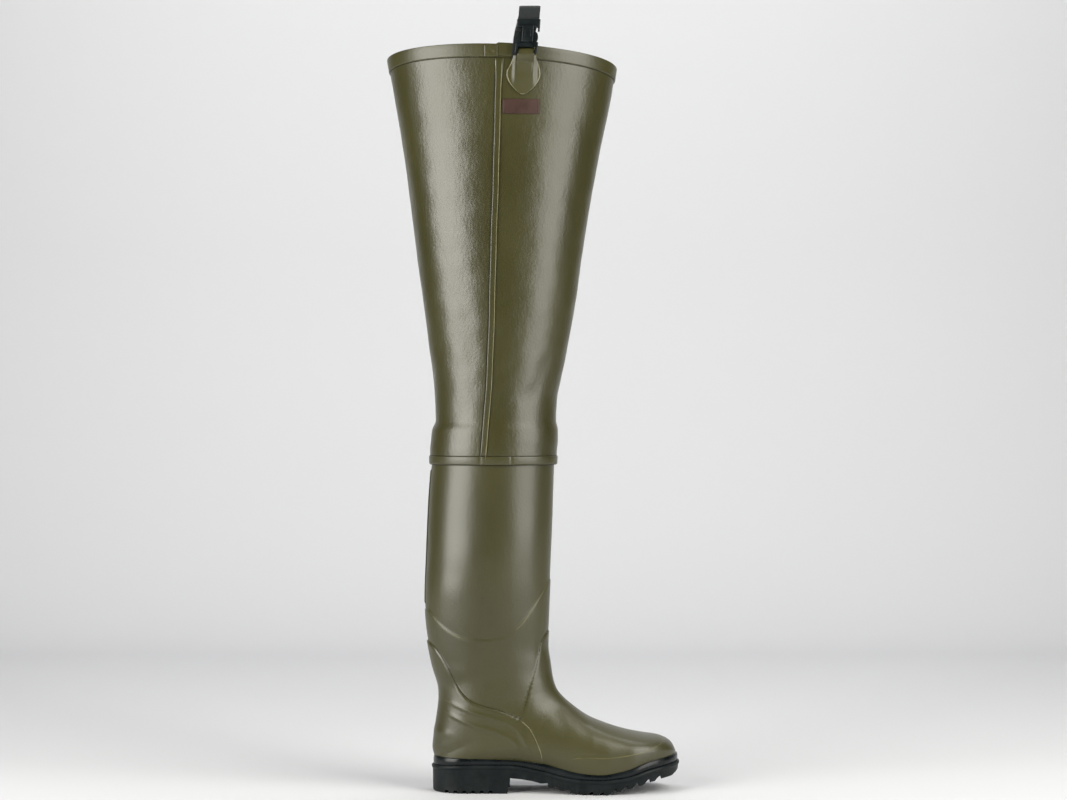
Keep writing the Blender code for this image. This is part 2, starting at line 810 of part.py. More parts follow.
def side_patch(name, rows, low, high, finish):
    # A plate that follows the thigh's outer side, a row of x places for each height
    size = len(rows[0][1])
    points = []
    for level, xs in rows:
        points += [thigh_side(x, level, low(x, level)) for x in xs]
    for level, xs in rows:
        points += [thigh_side(x, level, high(x, level)) for x in xs]
    count = len(rows) * size
    faces = []
    for i in range(len(rows) - 1):
        for j in range(size - 1):
            a = i * size + j
            quad = (a, a + 1, a + 1 + size, a + size)
            faces.append(quad)
            faces.append(tuple(q + count for q in quad[::-1]))
    rim = list(range(size))
    rim += [i * size + size - 1 for i in range(1, len(rows))]
    rim += [count - 1 - j for j in range(1, size)]
    rim += [i * size for i in range(len(rows) - 2, 0, -1)]
    for a, b in zip(rim, rim[1:] + rim[:1]):
        faces.append((a, b, b + count, a + count))
    return add_object(name, points, faces, finish)


SEAM_WIDTH = 7.4
SEAM_THICK = 0.9
SEAM_LOW = 407.0
SEAM_HIGH = 875.4
#       z      x of the seam's middle
SEAM = ((400.0, 18.6), (496.0, 26.3), (690.0, 32.8), (880.0, 38.8))


def seam_x(z):
    return table_at(SEAM, z, 1)


def make_side_seam(finish):
    rows = []
    for i in range(20):
        z = SEAM_LOW + (SEAM_HIGH - SEAM_LOW) * i / 19
        half = SEAM_WIDTH / 2
        rows.append((z, (seam_x(z) - half, seam_x(z), seam_x(z) + half)))
    return side_patch("side_seam", rows, lambda x, z: GAP, lambda x, z: GAP + SEAM_THICK, finish)


# Strap patch, label and belt loop, on the outer side of the collar
PATCH_THICK = 1.3
WEB_THICK = 1.6
WEB_WIDTH = 25.0
#       z      x left  x right
PATCH = (
    (833.0, 65.2, 67.8),
    (838.0, 58.4, 74.6),
    (843.5, 53.0, 81.0),
    (850.0, 48.6, 85.6),
    (857.0, 46.6, 87.8),
    (862.5, 47.6, 87.4),
    (866.5, 50.0, 86.4),
    (869.0, 51.4, 85.4),
    (871.5, 52.6, 84.6),
    (874.0, 53.6, 83.8),
    (876.5, 54.4, 83.2),
    (879.6, 55.0, 82.6),
)
LABEL_Z = (811.0, 828.5)
LABEL_X = (42.4, 86.4)
LABEL_THICK = 0.8

# The belt loop stands over the patch and leans a little to the front as it rises
LOOP_FOOT = (68.0, 846.0)
LOOP_LEAN = 0.075
LOOP_TOP = 937.0
LOOP_GAP = 8.0


def loop_x(z):
    return LOOP_FOOT[0] + LOOP_LEAN * (z - LOOP_FOOT[1]) * fade(z, LOOP_FOOT[1], 900.0)


def binding_rise(z):
    # What lies on the thigh steps out over the collar binding
    return fade(z, 866.5, 876.5) * (BINDING_THICK + GAP)


def web_rise(z):
    return GAP + WEB_THICK / 2 + binding_rise(z)


def web_follow(z):
    return 1 - fade(z, 894.0, 908.0)


BACK_PLY = thigh_side(loop_x(890.0), 890.0, 0.0)[1] - web_rise(890.0)


def ribbon(name, path, width, thick, follow, finish):
    # A flat strap whose middle follows a path of y and z, bent to the thigh where it lies on it
    path = np.array(path)
    ways = np.gradient(path, axis=0)
    ways /= np.linalg.norm(ways, axis=1)[:, None]
    sides = np.stack([-ways[:, 1], ways[:, 0]], axis=1) * thick / 2
    across = [width * (k / 4 - 0.5) for k in range(5)]
    points = []
    for (y, z), (dy, dz) in zip(path, sides):
        middle = loop_x(z)
        at_middle = thigh_side(middle, z, 0.0)[1]
        bend = [(thigh_side(middle + k, z, 0.0)[1] - at_middle) * follow(z) for k in across]
        outer = [(middle + k, y + dy + b, z + dz) for k, b in zip(across, bend)]
        inner = [(middle + k, y - dy + b, z - dz) for k, b in zip(across, bend)]
        points += outer + inner[::-1]
    return add_object(name, points, loft_faces(len(path), 2 * len(across)), finish)


def make_patch(finish):
    def bump(x, z):
        # Raised over the webbing beneath, and over the binding higher up
        side = abs(x - loop_x(z))
        over_web = (1 - fade(side, 13.0, 16.0)) * fade(z, 837.0, 847.0)
        return GAP + binding_rise(z) + over_web * (WEB_THICK + GAP)

    rows = []
    for z, left, right in PATCH:
        rows.append((z, [left + (right - left) * k / 14 for k in range(15)]))
    return side_patch("strap_patch", rows, bump, lambda x, z: bump(x, z) + PATCH_THICK, finish)


def make_label(finish):
    rows = []
    for i in range(4):
        z = LABEL_Z[0] + (LABEL_Z[1] - LABEL_Z[0]) * i / 3
        rows.append((z, [LABEL_X[0] + (LABEL_X[1] - LABEL_X[0]) * k / 8 for k in range(9)]))
    return side_patch("label_plate", rows, lambda x, z: GAP, lambda x, z: GAP + LABEL_THICK, finish)


def make_webbing(finish):
    # Up behind the buckle from under the patch, over, and down into the buckle's top bar
    radius = LOOP_GAP / 2
    front = BACK_PLY - LOOP_GAP
    path = []
    for z in (850.0, 857.0, 862.5, 866.5, 869.0, 871.5, 874.0, 876.5, 880.0, 886.0, 892.0, 900.0):
        at_surface = thigh_side(loop_x(z), z, 0.0)[1]
        path.append((at_surface - web_rise(z), z))
    path += [(BACK_PLY, 908.0), (BACK_PLY, 920.0)]
    centre_z = LOOP_TOP - radius - WEB_THICK / 2
    for i in range(9):
        turn = math.pi * i / 8
        path.append((BACK_PLY - radius + radius * math.cos(turn), centre_z + radius * math.sin(turn)))
    path += [(front, 927.0), (front, BUCKLE_TOP + GAP)]
    return ribbon("belt_webbing", path, WEB_WIDTH, WEB_THICK, web_follow, finish)


# Side-release buckle, upright in front of the webbing
BUCKLE_TOP = 920.4
BUCKLE_NECK = 910.4
BUCKLE_SPLIT = 893.2
BUCKLE_FOOT = 880.2
BUCKLE_WIDTH = 27.6
BUCKLE_DEPTH = 8.4
BUCKLE_BACK = BACK_PLY - LOOP_GAP + BUCKLE_DEPTH / 2
SPINE_WIDTH = 13.4
PRONG_WIDTH = 4.6
FLANGE_HIGH = 5.6
SLOT_HIGH = 3.0
SLOT_WIDTH = 20.5
SLOT_LIFT = 4.6
BAR_DEPTH = 3.4


HEAD_BEVEL = 0.9
BASE_BEVEL = 0.8
PRONG_BEVEL = 0.7
SPINE_PROUD = 0.6
BASE_SHY = 0.8
BASE_NARROW = 0.6
RAIL_HALF = 1.1
RAIL_SHY = 1.4
RAIL_DROP = 4.5
PRONG_SHY = 1.6
PRONG_DROP = 4.9
# How far joined shapes run into each other, and how far cutters run out
JOIN_RUN = 2.0
CUT_RUN = 3.0


def upright_box(name, x_half, y_range, z_range, middle=0.0, finish=None, bevel=0.0):
    points = []
    for z in z_range:
        x = loop_x(z) + middle
        points += [(x - x_half, y_range[0], z), (x + x_half, y_range[0], z)]
        points += [(x + x_half, y_range[1], z), (x - x_half, y_range[1], z)]
    made = add_object(name, points, loft_faces(2, 4), finish, smooth=False)
    if bevel:
        edge = made.modifiers.new("edges", "BEVEL")
        edge.width = bevel * MM
        edge.segments = 2
        edge.limit_method = "ANGLE"
    return made


def make_buckle_female(finish):
    back = BUCKLE_BACK
    front = BUCKLE_BACK - BUCKLE_DEPTH
    inside = BUCKLE_NECK + JOIN_RUN
    head = upright_box(
        "buckle_female",
        BUCKLE_WIDTH / 2,
        (front, back),
        (BUCKLE_NECK, BUCKLE_TOP),
        finish=finish,
        bevel=HEAD_BEVEL,
    )
    spine = upright_box(
        "female_spine",
        SPINE_WIDTH / 2,
        (front - SPINE_PROUD, back),
        (BUCKLE_SPLIT + GAP, inside),
        bevel=BASE_BEVEL,
    )
    boolean(head, "UNION", hide_helper(spine))
    for side in (-1, 1):
        rail = upright_box(
            f"female_rail_{side + 2}",
            RAIL_HALF,
            (front + RAIL_SHY, back - RAIL_SHY),
            (BUCKLE_NECK - RAIL_DROP, inside),
            side * (BUCKLE_WIDTH / 2 - RAIL_HALF - 0.1),
        )
        boolean(head, "UNION", hide_helper(rail))
    return head


def make_buckle_male(finish):
    back = BUCKLE_BACK
    front = BUCKLE_BACK - BUCKLE_DEPTH + BASE_SHY
    base = upright_box(
        "buckle_male",
        BUCKLE_WIDTH / 2 - BASE_NARROW,
        (front, back),
        (BUCKLE_FOOT, BUCKLE_SPLIT),
        finish=finish,
        bevel=BASE_BEVEL,
    )
    slot_low = BUCKLE_FOOT + SLOT_LIFT
    slot = upright_box(
        "male_slot",
        SLOT_WIDTH / 2,
        (front - CUT_RUN, back + CUT_RUN),
        (slot_low, slot_low + SLOT_HIGH),
    )
    foot = upright_box(
        "male_foot",
        SLOT_WIDTH / 2,
        (front - CUT_RUN, back - BAR_DEPTH),
        (BUCKLE_FOOT - CUT_RUN, slot_low + SLOT_HIGH / 2),
    )
    boolean(base, "DIFFERENCE", hide_helper(slot))
    boolean(base, "DIFFERENCE", hide_helper(foot))
    for side in (-1, 1):
        prong = upright_box(
            f"male_prong_{side + 2}",
            PRONG_WIDTH / 2,
            (front + PRONG_SHY, back - PRONG_SHY),
            (BUCKLE_SPLIT - JOIN_RUN, BUCKLE_NECK - PRONG_DROP),
            side * (SPINE_WIDTH / 2 + PRONG_WIDTH / 2 + BASE_NARROW),
            bevel=PRONG_BEVEL,
        )
        boolean(base, "UNION", hide_helper(prong))
    return base


TONGUE_WIDTH = 19.0


def make_tongue(finish):
    # Lies on the patch, comes forward past the buckle's lower bar and turns back into its slot
    path = []
    for z in (858.0, 862.5, 866.5, 869.0, 871.0):
        rise = GAP * 2 + WEB_THICK + PATCH_THICK + GAP + PATCH_THICK / 2 + binding_rise(z)
        path.append((thigh_side(loop_x(z), z, 0.0)[1] - rise - 0.25, z))
    bar = BUCKLE_BACK - BAR_DEPTH - GAP - PATCH_THICK / 2
    path += [(bar + 2.6, 875.5), (bar + 0.3, 879.3), (bar, 882.5)]
    path += [(bar + 0.3, 885.2), (bar + 1.5, 886.3), (bar + 3.0, 886.4)]
    return ribbon("strap_tongue", path, TONGUE_WIDTH, PATCH_THICK, lambda z: 1 - fade(z, 868, 879), finish)


LAP_Z = (877.7, 882.3, 886.9, 891.4)
LAP_X = (22.8, 28.1, 33.4, 38.8)


def make_lap(finish):
    # Where the collar binding's ends meet
    rows = [(z, LAP_X) for z in LAP_Z]
    under = BINDING_THICK + 2 * GAP
    return side_patch("collar_lap", rows, lambda x, z: under, lambda x, z: under + 0.9, finish)


def main():
    for old in list(bpy.data.objects):
        bpy.data.objects.remove(old)
    olive = material("olive_rubber", (0.135, 0.128, 0.055), 0.38)
    olive_thin = material("olive_thin_rubber", (0.15, 0.14, 0.062), 0.42)
    black = material("black_rubber", (0.012, 0.017, 0.018), 0.55)
    gloss = material("black_gloss_rubber", (0.006, 0.010, 0.011), 0.16)
    felt = material("grey_felt", (0.16, 0.16, 0.15), 0.95)
    webbing = material("black_webbing", (0.010, 0.014, 0.014), 0.8)
    plastic = material("black_plastic", (0.012, 0.016, 0.017), 0.35)
    brown = material("brown_label", (0.06, 0.022, 0.016), 0.5)
    make_outsole(black)
    make_midsole(gloss)
    make_insole(felt)
    make_upper(olive)
    make_back_strip(olive)
    make_thigh(olive_thin)
    make_knee_band(olive)
    make_binding(olive_thin)
    make_lap(olive_thin)
    make_side_seam(olive_thin)
    make_patch(olive)
    make_label(brown)
    make_webbing(webbing)
    make_buckle_female(plastic)
    make_buckle_male(plastic)
    make_tongue(olive)


main()
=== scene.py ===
import math

import bmesh
import bpy
import numpy as np
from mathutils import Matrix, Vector
from mathutils.bvhtree import BVHTree


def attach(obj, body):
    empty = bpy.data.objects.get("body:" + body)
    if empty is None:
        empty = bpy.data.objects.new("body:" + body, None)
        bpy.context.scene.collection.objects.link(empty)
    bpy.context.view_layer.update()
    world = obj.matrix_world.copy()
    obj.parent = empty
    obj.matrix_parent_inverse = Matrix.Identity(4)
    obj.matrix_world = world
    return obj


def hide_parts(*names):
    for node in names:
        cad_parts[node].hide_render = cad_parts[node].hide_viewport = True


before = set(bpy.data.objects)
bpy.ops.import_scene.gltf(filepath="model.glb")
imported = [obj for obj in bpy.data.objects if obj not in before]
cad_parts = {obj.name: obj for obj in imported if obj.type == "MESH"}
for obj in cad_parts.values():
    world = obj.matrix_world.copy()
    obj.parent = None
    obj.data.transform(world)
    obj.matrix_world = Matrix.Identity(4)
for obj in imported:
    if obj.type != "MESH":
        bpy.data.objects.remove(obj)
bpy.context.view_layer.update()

# A right hip wader, seen from its outer side. Sizes are in millimetres, toe to +X, outer side to -Y.
mm = 0.001
print("frame loaded", len(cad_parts), "nodes")


# Curves and tables

def tableAt(table, x, column):
    # monotone cubic through one column, x may be an array
    xs = np.array([row[0] for row in table], dtype=float)
    ys = np.array([row[column] for row in table], dtype=float)
    steps = np.diff(xs)
    slopes = np.diff(ys) / steps
    tangents = np.zeros(len(xs))
    tangents[0], tangents[-1] = slopes[0], slopes[-1]
    for i in range(1, len(xs) - 1):
        if slopes[i - 1] * slopes[i] > 0:
            before = 2 * steps[i] + steps[i - 1]
            after = steps[i] + 2 * steps[i - 1]
            tangents[i] = (before + after) / (before / slopes[i - 1] + after / slopes[i])
    x = np.clip(np.asarray(x, dtype=float), xs[0], xs[-1])
    i = np.clip(np.searchsorted(xs, x, side="right") - 1, 0, len(xs) - 2)
    t = (x - xs[i]) / steps[i]
    start = (1 + 2 * t) * (1 - t) ** 2 * ys[i] + t * (1 - t) ** 2 * steps[i] * tangents[i]
    end = t * t * (3 - 2 * t) * ys[i + 1] + t * t * (t - 1) * steps[i] * tangents[i + 1]
    return start + end


def smoothLine(points, steps=12):
    # centripetal Catmull-Rom curve through the points
    p = [np.array(q, dtype=float) for q in points]
    p = [2 * p[0] - p[1]] + p + [2 * p[-1] - p[-2]]
    line = []
    for i in range(1, len(p) - 2):
        knots = [0]
        for a, b in zip(p[i - 1:i + 2], p[i:i + 3]):
            knots.append(knots[-1] + math.sqrt(float(np.linalg.norm(b - a))))
        for t in np.linspace(knots[1], knots[2], steps, endpoint=False):
            a = [((knots[k + 1] - t) * p[i - 1 + k] + (t - knots[k]) * p[i + k]) / (knots[k + 1] - knots[k])
                 for k in range(3)]
            b = [((knots[k + 2] - t) * a[k] + (t - knots[k]) * a[k + 1]) / (knots[k + 2] - knots[k])
                 for k in range(2)]
            line.append(((knots[2] - t) * b[0] + (t - knots[1]) * b[1]) / (knots[2] - knots[1]))
    line.append(p[-2])
    return np.array(line)


def fade(value, low, high):
    t = np.clip((np.asarray(value, dtype=float) - low) / (high - low), 0, 1)
    return t * t * (3 - 2 * t)


def lineDistance(px, pz, line):
    # shortest distance from points to a polyline, and how far along it the nearest place is
    best = np.full(px.shape, 1e9)
    along = np.zeros(px.shape)
    count = len(line) - 1
    for i in range(count):
        a, b = line[i], line[i + 1]
        d = b - a
        t = np.clip(((px - a[0]) * d[0] + (pz - a[1]) * d[1]) / max(d @ d, 1e-9), 0, 1)
        gap = np.hypot(px - a[0] - t * d[0], pz - a[1] - t * d[1])
        nearer = gap < best
        best = np.where(nearer, gap, best)
        along = np.where(nearer, (i + t) / count, along)
    return best, along


def insideOutline(px, pz, outline):
    inside = np.zeros(px.shape, dtype=bool)
    ring = list(outline) + [outline[0]]
    for a, b in zip(ring, ring[1:]):
        if a[1] == b[1]:
            continue
        crosses = (a[1] > pz) != (b[1] > pz)
        inside ^= crosses & (px < (b[0] - a[0]) * (pz - a[1]) / (b[1] - a[1]) + a[0])
    return inside


# Meshes

def addMesh(name, points, faces, material, smooth=True, sharpAngle=None):
    mesh = bpy.data.meshes.new(name)
    mesh.from_pydata(np.asarray(points, dtype=float) * mm, [], faces)
    work = bmesh.new()
    work.from_mesh(mesh)
    bmesh.ops.remove_doubles(work, verts=work.verts, dist=0.004 * mm)
    bmesh.ops.dissolve_degenerate(work, edges=work.edges, dist=0.002 * mm)
    bmesh.ops.recalc_face_normals(work, faces=work.faces)
    work.to_mesh(mesh)
    work.free()
    if smooth:
        mesh.shade_smooth()
        if sharpAngle:
            mesh.set_sharp_from_angle(angle=math.radians(sharpAngle))
    piece = bpy.data.objects.new(name, mesh)
    bpy.context.scene.collection.objects.link(piece)
    piece.data.materials.append(material)
    return piece


def gridFaces(rows, columns, wrapRows=False, wrapColumns=False):
    faces = []
    for i in range(rows if wrapRows else rows - 1):
        for j in range(columns if wrapColumns else columns - 1):
            a, b = i * columns + j, i * columns + (j + 1) % columns
            c, d = ((i + 1) % rows) * columns + (j + 1) % columns, ((i + 1) % rows) * columns + j
            faces.append((a, b, c, d))
    return faces


def finishPiece(piece, slot, *nodes):
    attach(piece, "root")
    if nodes:
        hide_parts(*nodes)
    return piece


# Finishes

def addNode(tree, kind, values, sources):
    made = tree.nodes.new("ShaderNode" + kind)
    for name, value in values.items():
        made.inputs[name].default_value = value
    for name, source in sources.items():
        tree.links.new(source, made.inputs[name])
    return made


def newMaterial(name, colour, roughness, specular=0.5):
    made = bpy.data.materials.new(name)
    made.use_nodes = True
    tree = made.node_tree
    shader = tree.nodes["Principled BSDF"]
    values = {"Base Color": (*colour, 1), "Roughness": roughness, "Specular IOR Level": specular}
    for socket, value in values.items():
        shader.inputs[socket].default_value = value
    return made, tree, shader, tree.nodes.new("ShaderNodeTexCoord").outputs["Object"]


def stretched(tree, place, scale):
    return addNode(tree, "Mapping", {"Scale": scale}, {"Vector": place}).outputs["Vector"]


def noise(tree, vector, scale, detail=3.0, roughness=0.55):
    values = {"Scale": scale, "Detail": detail, "Roughness": roughness}
    return addNode(tree, "TexNoise", values, {"Vector": vector}).outputs["Fac"]


def ramp(tree, factor, low, high, lowColour, highColour):
    made = addNode(tree, "ValToRGB", {}, {"Fac": factor})
    first, last = made.color_ramp.elements
    first.position, last.position = low, high
    first.color, last.color = (*lowColour, 1), (*highColour, 1)
    return made.outputs["Color"]


def remap(tree, factor, low, high):
    values = {"From Min": 0.3, "From Max": 0.7, "To Min": low, "To Max": high}
    return addNode(tree, "MapRange", values, {"Value": factor}).outputs["Result"]


def bumps(tree, shader, layers):
    # each layer is a height, a strength and a depth in metres
    last = {}
    for height, strength, depth in layers:
        bump = addNode(tree, "Bump", {"Strength": strength, "Distance": depth}, {"Height": height, **last})
        last = {"Normal": bump.outputs["Normal"]}
    tree.links.new(last["Normal"], shader.inputs["Normal"])


rubberLook = {
    "boot": (0.039, 0.0360, 0.0062),
    "bootDark": (0.028, 0.0258, 0.0044),
    "thigh": (0.036, 0.0332, 0.0062),
    "thighDark": (0.026, 0.0238, 0.0044),
    "bootRoughness": (0.36, 0.46),
    "thighRoughness": (0.30, 0.40),
    # dark colour for thin lines of painted shade at panel edges, the seam and the band and binding joints
    "edge": (0.014, 0.013, 0.005),
    # pale colour for painted highlights along raised edges: the counter's front edge, the side seam's ridge
    # and the patch rim
    "paintedEdgeHighlight": (0.140, 0.130, 0.066),
    # a little paler than the boot, for soft painted highlights along the edges of the arc panel, the rand and
    # the heel ribs
    "paintedSoftHighlight": (0.052, 0.0475, 0.014),
}


def oliveRubber(name, light, dark, roughness, grain, creping):
    made, tree, shader, place = newMaterial(name, light, roughness[0])
    upright = stretched(tree, place, (1, 1, 0.45))
    cloud, crepe = noise(tree, upright, 9, 4), noise(tree, upright, 110, 4, 0.65)
    fine = noise(tree, place, 330, 2)
    tree.links.new(ramp(tree, cloud, 0.32, 0.68, dark, light), shader.inputs["Base Color"])
    tree.links.new(remap(tree, cloud, *roughness), shader.inputs["Roughness"])
    bumps(tree, shader, ((crepe, creping, 0.0008), (fine, grain, 0.0003)))
    shader.inputs["Coat Weight"].default_value = 0.30
    shader.inputs["Coat Roughness"].default_value = 0.26
    return made


bootRubber = oliveRubber("oliveRubber", rubberLook["boot"], rubberLook["bootDark"],
                         rubberLook["bootRoughness"], 0.55, 0.26)
thighRubber = oliveRubber("oliveThinRubber", rubberLook["thigh"], rubberLook["thighDark"],
                          rubberLook["thighRoughness"], 0.80, 0.55)


def plainRubber(name, colour, roughness, grain, coat, specular):
    made, tree, shader, place = newMaterial(name, colour, roughness, specular)
    dust, fine = noise(tree, place, 60, 5), noise(tree, place, 700, 2)
    paler = tuple(c * 1.7 + 0.004 for c in colour)
    tree.links.new(ramp(tree, dust, 0.35, 0.75, colour, paler), shader.inputs["Base Color"])
    tree.links.new(remap(tree, dust, roughness * 0.9, roughness * 1.2), shader.inputs["Roughness"])
    bumps(tree, shader, ((fine, grain, 0.0002),))
    shader.inputs["Coat Weight"].default_value = coat
    shader.inputs["Coat Roughness"].default_value = 0.1
    return made


soleRubber = plainRubber("blackRubber", (0.0022, 0.0042, 0.0045), 0.46, 0.5, 0, 0.20)
glossRubber = plainRubber("blackGlossRubber", (0.001, 0.0025, 0.003), 0.27, 0.1, 0.08, 0.26)
buckleResin = plainRubber("blackResin", (0.0025, 0.0045, 0.005), 0.34, 0.25, 0, 0.30)
# soft painted highlight colour for pale edge lines
paintedSoftHighlight = plainRubber("paintedSoftHighlight", rubberLook["paintedSoftHighlight"], 0.42, 0.2, 0, 0.5)
# painted shade colour for thin dark lines
edgeShade = plainRubber("paintedShadeLine", rubberLook["edge"], 0.6, 0.2, 0, 0.2)
# painted highlight colour for thin pale lines on raised edges
paintedEdgeHighlight = plainRubber("paintedEdgeHighlight", rubberLook["paintedEdgeHighlight"], 0.45, 0.2, 0, 0.5)


def fabricMaterial(name, colour, roughness, scale, strength):
    made, tree, shader, place = newMaterial(name, colour, roughness, 0.3)
    wave = addNode(tree, "TexWave", {"Scale": scale, "Distortion": 0.6}, {"Vector": place})
    wave.bands_direction = "DIAGONAL"
    threads = noise(tree, stretched(tree, place, (1, 1, 0.3)), scale * 3, 3)
    paler = tuple(c * 1.8 + 0.004 for c in colour)
    tree.links.new(ramp(tree, threads, 0.3, 0.7, colour, paler), shader.inputs["Base Color"])
    tree.links.new(remap(tree, threads, roughness, min(1, roughness + 0.15)), shader.inputs["Roughness"])
    bumps(tree, shader, ((wave.outputs["Fac"], 0.8, strength), (threads, 0.5, strength * 0.4)))
    shader.inputs["Sheen Weight"].default_value = 0.2
    return made


webFabric = fabricMaterial("blackWebbing", (0.004, 0.0065, 0.0065), 0.75, 420, 0.0004)
feltFabric = fabricMaterial("greyFelt", (0.20, 0.20, 0.18), 0.92, 260, 0.0003)
liningFabric = fabricMaterial("paleLining", (0.30, 0.29, 0.25), 0.9, 500, 0.0002)
brownPlate = plainRubber("brownLabel", (0.026, 0.010, 0.006), 0.5, 0.3, 0, 0.35)
print("finishes made")


# The plan of the foot, repeated from the part

planShape = {
    "back": -44.6, "toe": 256.7, "heelRound": 40, "toeRound": 64, "toePower": 2.3,
    "edgeInset": 5, "bandInset": 2.6, "edgeDrop": 2.5,
    # x, half-width, centre
    "rows": ((-44.6, 38.5, 0), (20, 38.5, -0.3), (60, 37, -2), (90, 39, -3.5), (120, 44, -3.4),
             (150, 49.5, -2), (175, 52.5, 0.4), (200, 52.5, 3.6), (228, 51, 8.2), (256.7, 50, 12)),
    # x, feather line, ledge
    "lines": ((-44.6, 42, 31.4), (5, 42, 34), (46, 41.2, 34), (87, 37, 28), (118, 29, 20.5),
              (139, 25, 17.9), (159, 23.6, 17.5), (190, 28, 20.5), (221, 38, 29),
              (256.7, 43.5, 34.6)),
}
edgeInset, bandInset = planShape["edgeInset"], planShape["bandInset"]
planMiddle = (planShape["back"] + planShape["toe"]) / 2
planReach = (planShape["toe"] - planShape["back"]) / 2


def planX(x, inset):
    return planMiddle + (x - planMiddle) * (1 - inset / planReach)


def planSource(x, inset):
    return planMiddle + (x - planMiddle) / (1 - inset / planReach)


def planHalf(x, inset):
    heel = np.clip((planShape["back"] + planShape["heelRound"] - x) / planShape["heelRound"], 0, 1)
    toe = np.clip((x - planShape["toe"] + planShape["toeRound"]) / planShape["toeRound"], 0, 1)
    ends = np.sqrt(1 - heel ** 2) * np.sqrt(1 - toe ** planShape["toePower"])
    return (tableAt(planShape["rows"], x, 1) - inset) * ends


def planCentre(x):
    return tableAt(planShape["rows"], x, 2)


def feather(x):
    return tableAt(planShape["lines"], x, 1)


def ledge(x):
    return tableAt(planShape["lines"], x, 2)


# The boot

boot = {
    "wall": 1.6, "top": 434, "pivot": (150, 135), "turnRadius": 80, "widthBlend": 4, "footBulge": 1.03,
    "legStep": 2, "elbowStep": 0.62, "footSteps": 58, "ringSteps": 50, "liningSteps": 25,
    "front": ((251.7, 46), (247.4, 54.6), (239.9, 60.7), (231, 64.5), (210.8, 68), (188.9, 72.9),
              (167.1, 80.1), (145.2, 89.9), (130.6, 99.6), (116, 111.7), (108, 121), (103, 134),
              (99.2, 157), (96.8, 172), (97.8, 205), (99, 254), (101.5, 320), (103.8, 384),
              (104.2, 396), (105.1, 412), (106, 424), (106, 436)),
    "back": ((-39.7, 38), (-41.2, 43), (-43.1, 51), (-42.4, 62), (-39.6, 82), (-37, 99),
             (-35.8, 114), (-38, 131), (-44, 152), (-50, 186), (-52.8, 217), (-50.9, 280),
             (-47.9, 351), (-45.3, 386), (-44.2, 400), (-44, 412), (-43, 424), (-41.8, 436)),
    # spine, half-width, belly, power, seat
    "sections": ((-230, 46.4, 0.60, 2.4, 1.8), (-125.7, 46.4, 0.64, 2.4, 1.8), (-84, 43, 0.66, 2.3, 1.8),
                 (-42, 42, 0.62, 2.2, 1.8), (0, 43, 0.57, 2.1, 1.6), (34, 46.5, 0.55, 2.1, 1.2),
                 (82, 53, 0.52, 2.1, 0.6), (125, 56.5, 0.50, 2.1, 0), (155, 58, 0.50, 2.1, 0),
                 (220, 58.5, 0.50, 2, 0), (258, 58.6, 0.50, 2, 0), (285, 59.4, 0.50, 2, 0),
                 (301, 59, 0.50, 2, 0)),
}
panels = {
    "arc": ((-47.3, 218.6), (-34.7, 204.2), (-22, 194.8), (-7.7, 187.9), (8, 185.9), (27.1, 185.5),
            (44.9, 188.6), (61.6, 200.8), (75.4, 218.1), (89.3, 239.7), (97.8, 255.1)),
    "counter": ((-48.8, 181), (-38.6, 172.2), (-24.8, 152.1), (-15, 132.3), (-6.8, 119.7), (5.2, 110.1),
                (22, 104.1), (42, 98.4), (62.5, 89.6)),
    "vamp": ((65.5, 91.2), (75.4, 127.2), (82, 148.5), (85.6, 166), (88, 179.7), (96.2, 193.1)),
    "counterFront": ((62.5, 89.6), (74.8, 78), (82.6, 63.6), (88, 49), (89.8, 35.2)),
    "rand": ((119, 42), (137, 45.2), (169.3, 44.6), (200.4, 48.5), (226, 55.5), (243, 62.5)),
    "ribs": (((-30, 112.5), (6.4, 98.1), (34, 89.7), (58.4, 79.9), (66.4, 66.9), (74.8, 52.5)),
             ((-31, 99.3), (3.4, 83.7), (34, 74.1), (55.8, 62.9), (62.8, 52.5))),
    "arcRise": 0.8, "vampRise": 1.8, "randRise": 2.1, "counterRise": 2.5, "ribRise": 1, "ribWidth": 3.6,
}
# soft troughs and ridges: start, end, half-width, height
creases = (
    ((88, 128), (77, 94), 7, 0.35),
    ((-44, 74), (-18, 70), 5, 0.8),
    ((-40, 124), (-8, 132), 8, -0.9),
    ((-34, 142), (10, 150), 9, 0.6),
    ((100, 108), (118, 78), 8, -0.8),
    ((140, 92), (150, 64), 12, -0.7),
    ((-40, 300), (20, 330), 26, -0.7),
    ((96, 330), (50, 300), 24, 0.6),
    ((-46, 250), (0, 236), 18, 0.7),
)
pivotX, pivotZ = boot["pivot"]
frontLine, backLine = smoothLine(boot["front"]), smoothLine(boot["back"])
edgeX = np.linspace(planX(planShape["back"], edgeInset),
                    planX(planShape["toe"], edgeInset), 400)


def edgeHeight(x):
    return feather(planSource(x, edgeInset)) - planShape["edgeDrop"]


edgeLine = np.stack([edgeX, edgeHeight(edgeX)], axis=1)
toeX = float(edgeX[-1])


def turnsOf(line):
    return np.degrees(np.arctan2(pivotZ - line[:, 1], pivotX - line[:, 0]))


def reachAt(line, turn):
    turns = turnsOf(line)
    order = np.argsort(turns)
    return float(np.interp(turn, turns[order], np.hypot(line[:, 0] - pivotX, line[:, 1] - pivotZ)[order]))


cornerTurn = float(turnsOf(edgeLine)[0])


def legReach(z):
    return [pivotX - np.interp(z, line[:, 1], line[:, 0]) for line in (frontLine, backLine)]


def calmReach(turn):
    # the far reach averaged over nearby rays, so that the heel corner leaves no line on the instep
    spread = min(15, turn, 90 - turn)
    rays = np.linspace(turn - spread, turn + spread, 31)
    return float(np.mean([reachAt(edgeLine if ray > cornerTurn - 0.01 else backLine, ray) for ray in rays]))


